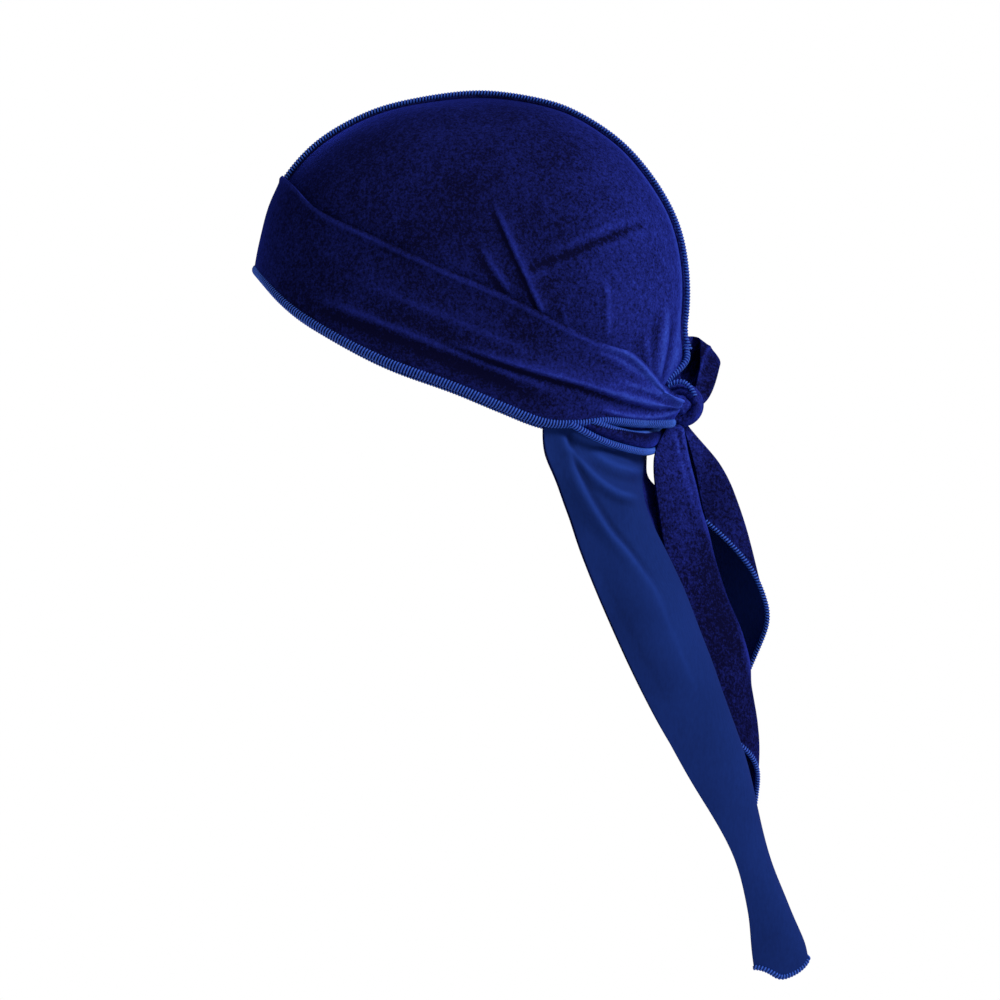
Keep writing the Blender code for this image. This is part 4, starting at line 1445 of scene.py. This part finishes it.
class OBJECT_OT_durag_ties(bpy.types.Operator):
    """Make the two free ends of the tie, with their overlocked cuts"""

    bl_idname = "object.durag_ties"
    bl_label = "Tie Ends"

    def execute(self, context):
        for word, rows, length, shortest, folds, tone in (
                ("near", NEAR_TIE, NEAR_TIE_LENGTH, NEAR_TIE_CUT, NEAR_TIE_FOLDS, -0.5),
                ("far", FAR_TIE, FAR_TIE_LENGTH, FAR_TIE_CUT, [], -0.2)):
            def place(down, across):
                down *= shortest + (1 - shortest) * across
                gather = TIE_GATHER * math.cos(2 * math.pi * TIE_WAVES * across) * (1 - down) ** 4
                return tie_point(rows, length, down, across) + Vector((0, gather, 0))

            grid = grid_of(TIE_ROWS, TIE_COLUMNS, place)
            name = f"tie_end_{word}"
            cloth = open_cloth(name, grid, ["velvet", "wrong_side"], backward)
            fold_cloth(cloth, folds, 2 * ripple_heights(coordinates(cloth)[0], TIE_RIPPLE, 7.0 + length), tone)
            wall(cloth, context.scene.durag_cloth.wall)
            take_place(cloth, "velvet", f"tie_{word}")
            cut = overlocked_edge(f"{name}_overlock", f"tie_{word}_hem", hem_line(grid, EDGING_GAP, backward),
                                  backward, TIE_EDGING)
        return {"FINISHED"}


class OBJECT_OT_durag_cape(bpy.types.Operator):
    """Make the cape and its overlocked end"""

    bl_idname = "object.durag_cape"
    bl_label = "Cape"

    def execute(self, context):
        grid = grid_of(CAPE_ROWS, CAPE_COLUMNS, cape_point)
        cloth = open_cloth("cape_cloth", grid, ["wrong_side", "velvet"], away_from_head)
        places, _ = coordinates(cloth)
        ruffle = np.exp(-(places[:, 0] / CRIMP_SPREAD[0]) ** 2
                        - ((places[:, 2] - CRIMP_CENTRE) / CRIMP_SPREAD[1]) ** 2)
        crimp = CRIMP_HEIGHT * ruffle * np.sin(places[:, 2] / CRIMP_LENGTH)
        # Painted highlight on the crimp's crests and painted shade in its troughs
        fold_cloth(cloth, CAPE_SIDE_FOLDS, crimp + 2 * ripple_heights(places, CAPE_RIPPLE, 11.0), 250 * crimp)
        for face in cloth.data.polygons:
            aside, along, up = face.center
            place = (aside / VELVET_SPREAD[0], (up - VELVET_CENTRE) / VELVET_SPREAD[1])
            if along > VELVET_FRONT and math.hypot(*place) < 1:
                face.material_index = 1
        wall(cloth, context.scene.durag_cloth.wall)
        take_place(cloth, "wrong_side", "cape")
        hem = overlocked_edge("cape_overlock", "cape_hem", hem_line(grid, EDGING_GAP, away_from_head),
                              away_from_head, CAPE_EDGING, "wrong_side")
        return {"FINISHED"}


def area_light(name, place, size, power):
    """Soft square light that faces the durag."""
    lamp = bpy.data.lights.new(name, "AREA")
    lamp.size = size
    lamp.energy = power
    item = bpy.data.objects.new(name, lamp)
    bpy.context.scene.collection.objects.link(item)
    item.location = place
    item.rotation_euler = (Vector((0, 0.02, -0.18)) - Vector(place)).to_track_quat("-Z", "Y").to_euler()
    return item


class SCENE_OT_durag_stage(bpy.types.Operator):
    """Make the floor, the lights, the world and the camera"""

    bl_idname = "scene.durag_stage"
    bl_label = "Stage"

    def execute(self, context):
        stage = context.scene.durag_stage
        low = cad_box[0]
        bpy.ops.object.select_all(action="DESELECT")
        bpy.ops.mesh.primitive_circle_add(vertices=96, radius=1.2, fill_type="NGON",
                                          location=(0, 0, low.z - stage.floor_drop))
        floor = context.object
        floor.name = "pale_floor"
        paint = bpy.data.materials.new("pale_paint")
        paint.use_nodes = True
        shader = paint.node_tree.nodes["Principled BSDF"]
        shader.inputs["Base Color"].default_value = (0.93, 0.93, 0.93, 1)
        shader.inputs["Roughness"].default_value = 0.9
        floor.data.materials.append(paint)

        area_light("key_light", (1.1, 1.5, 1.3), 0.9, stage.key_power)
        area_light("fill_light", (2.0, -1.4, 0.3), 1.6, stage.fill_power)
        context.scene.view_settings.view_transform = "Standard"

        world = bpy.data.worlds.new("studio_world")
        world.use_nodes = True
        context.scene.world = world
        tree = world.node_tree
        backdrop = tree.nodes["Background"]
        backdrop.inputs["Color"].default_value = (1, 1, 1, 1)
        rays = tree.nodes.new("ShaderNodeLightPath")
        share = Value(tree, rays.outputs["Is Camera Ray"])
        strength = share * 0.72 + 0.28
        tree.links.new(strength.socket, backdrop.inputs["Strength"])

        lens = bpy.data.cameras.new("camera")
        lens.sensor_width = 36.0
        lens.lens = lens.sensor_width * stage.view_distance / stage.frame_size
        lens.clip_end = 100.0
        camera = bpy.data.objects.new("camera", lens)
        context.scene.collection.objects.link(camera)
        camera.location = (stage.view_distance, 0.009, -0.180)
        camera.rotation_euler = (math.radians(90), 0, math.radians(90))
        context.scene.camera = camera
        return {"FINISHED"}


class VIEW3D_PT_durag(bpy.types.Panel):
    """Sizes, colours and pieces of the durag"""

    bl_idname = "VIEW3D_PT_durag"
    bl_label = "Durag"
    bl_space_type = "VIEW_3D"
    bl_region_type = "UI"
    bl_category = "Durag"

    def draw(self, context):
        for group in ("durag_cloth", "durag_thread", "durag_colours", "durag_stage"):
            settings = getattr(context.scene, group)
            box = self.layout.box()
            for label in settings.__annotations__:
                box.prop(settings, label)
        for step in STEPS:
            self.layout.operator(step.bl_idname)


GROUPS = {"durag_cloth": DuragCloth, "durag_thread": DuragThread, "durag_colours": DuragColours,
          "durag_stage": DuragStage}
STEPS = (OBJECT_OT_durag_crown, OBJECT_OT_durag_overlock, OBJECT_OT_durag_band, OBJECT_OT_durag_knot,
         OBJECT_OT_durag_bow, OBJECT_OT_durag_ties, OBJECT_OT_durag_cape, SCENE_OT_durag_stage)


def register():
    for label, group in GROUPS.items():
        bpy.utils.register_class(group)
        setattr(bpy.types.Scene, label, PointerProperty(type=group))
    for step in STEPS:
        bpy.utils.register_class(step)
    bpy.utils.register_class(VIEW3D_PT_durag)


def unregister():
    bpy.utils.unregister_class(VIEW3D_PT_durag)
    for step in reversed(STEPS):
        bpy.utils.unregister_class(step)
    for label, group in reversed(GROUPS.items()):
        delattr(bpy.types.Scene, label)
        bpy.utils.unregister_class(group)


def main():
    register()
    for step in STEPS:
        section, label = step.bl_idname.split(".")
        getattr(getattr(bpy.ops, section), label)()


if __name__ == "__main__":
    main()
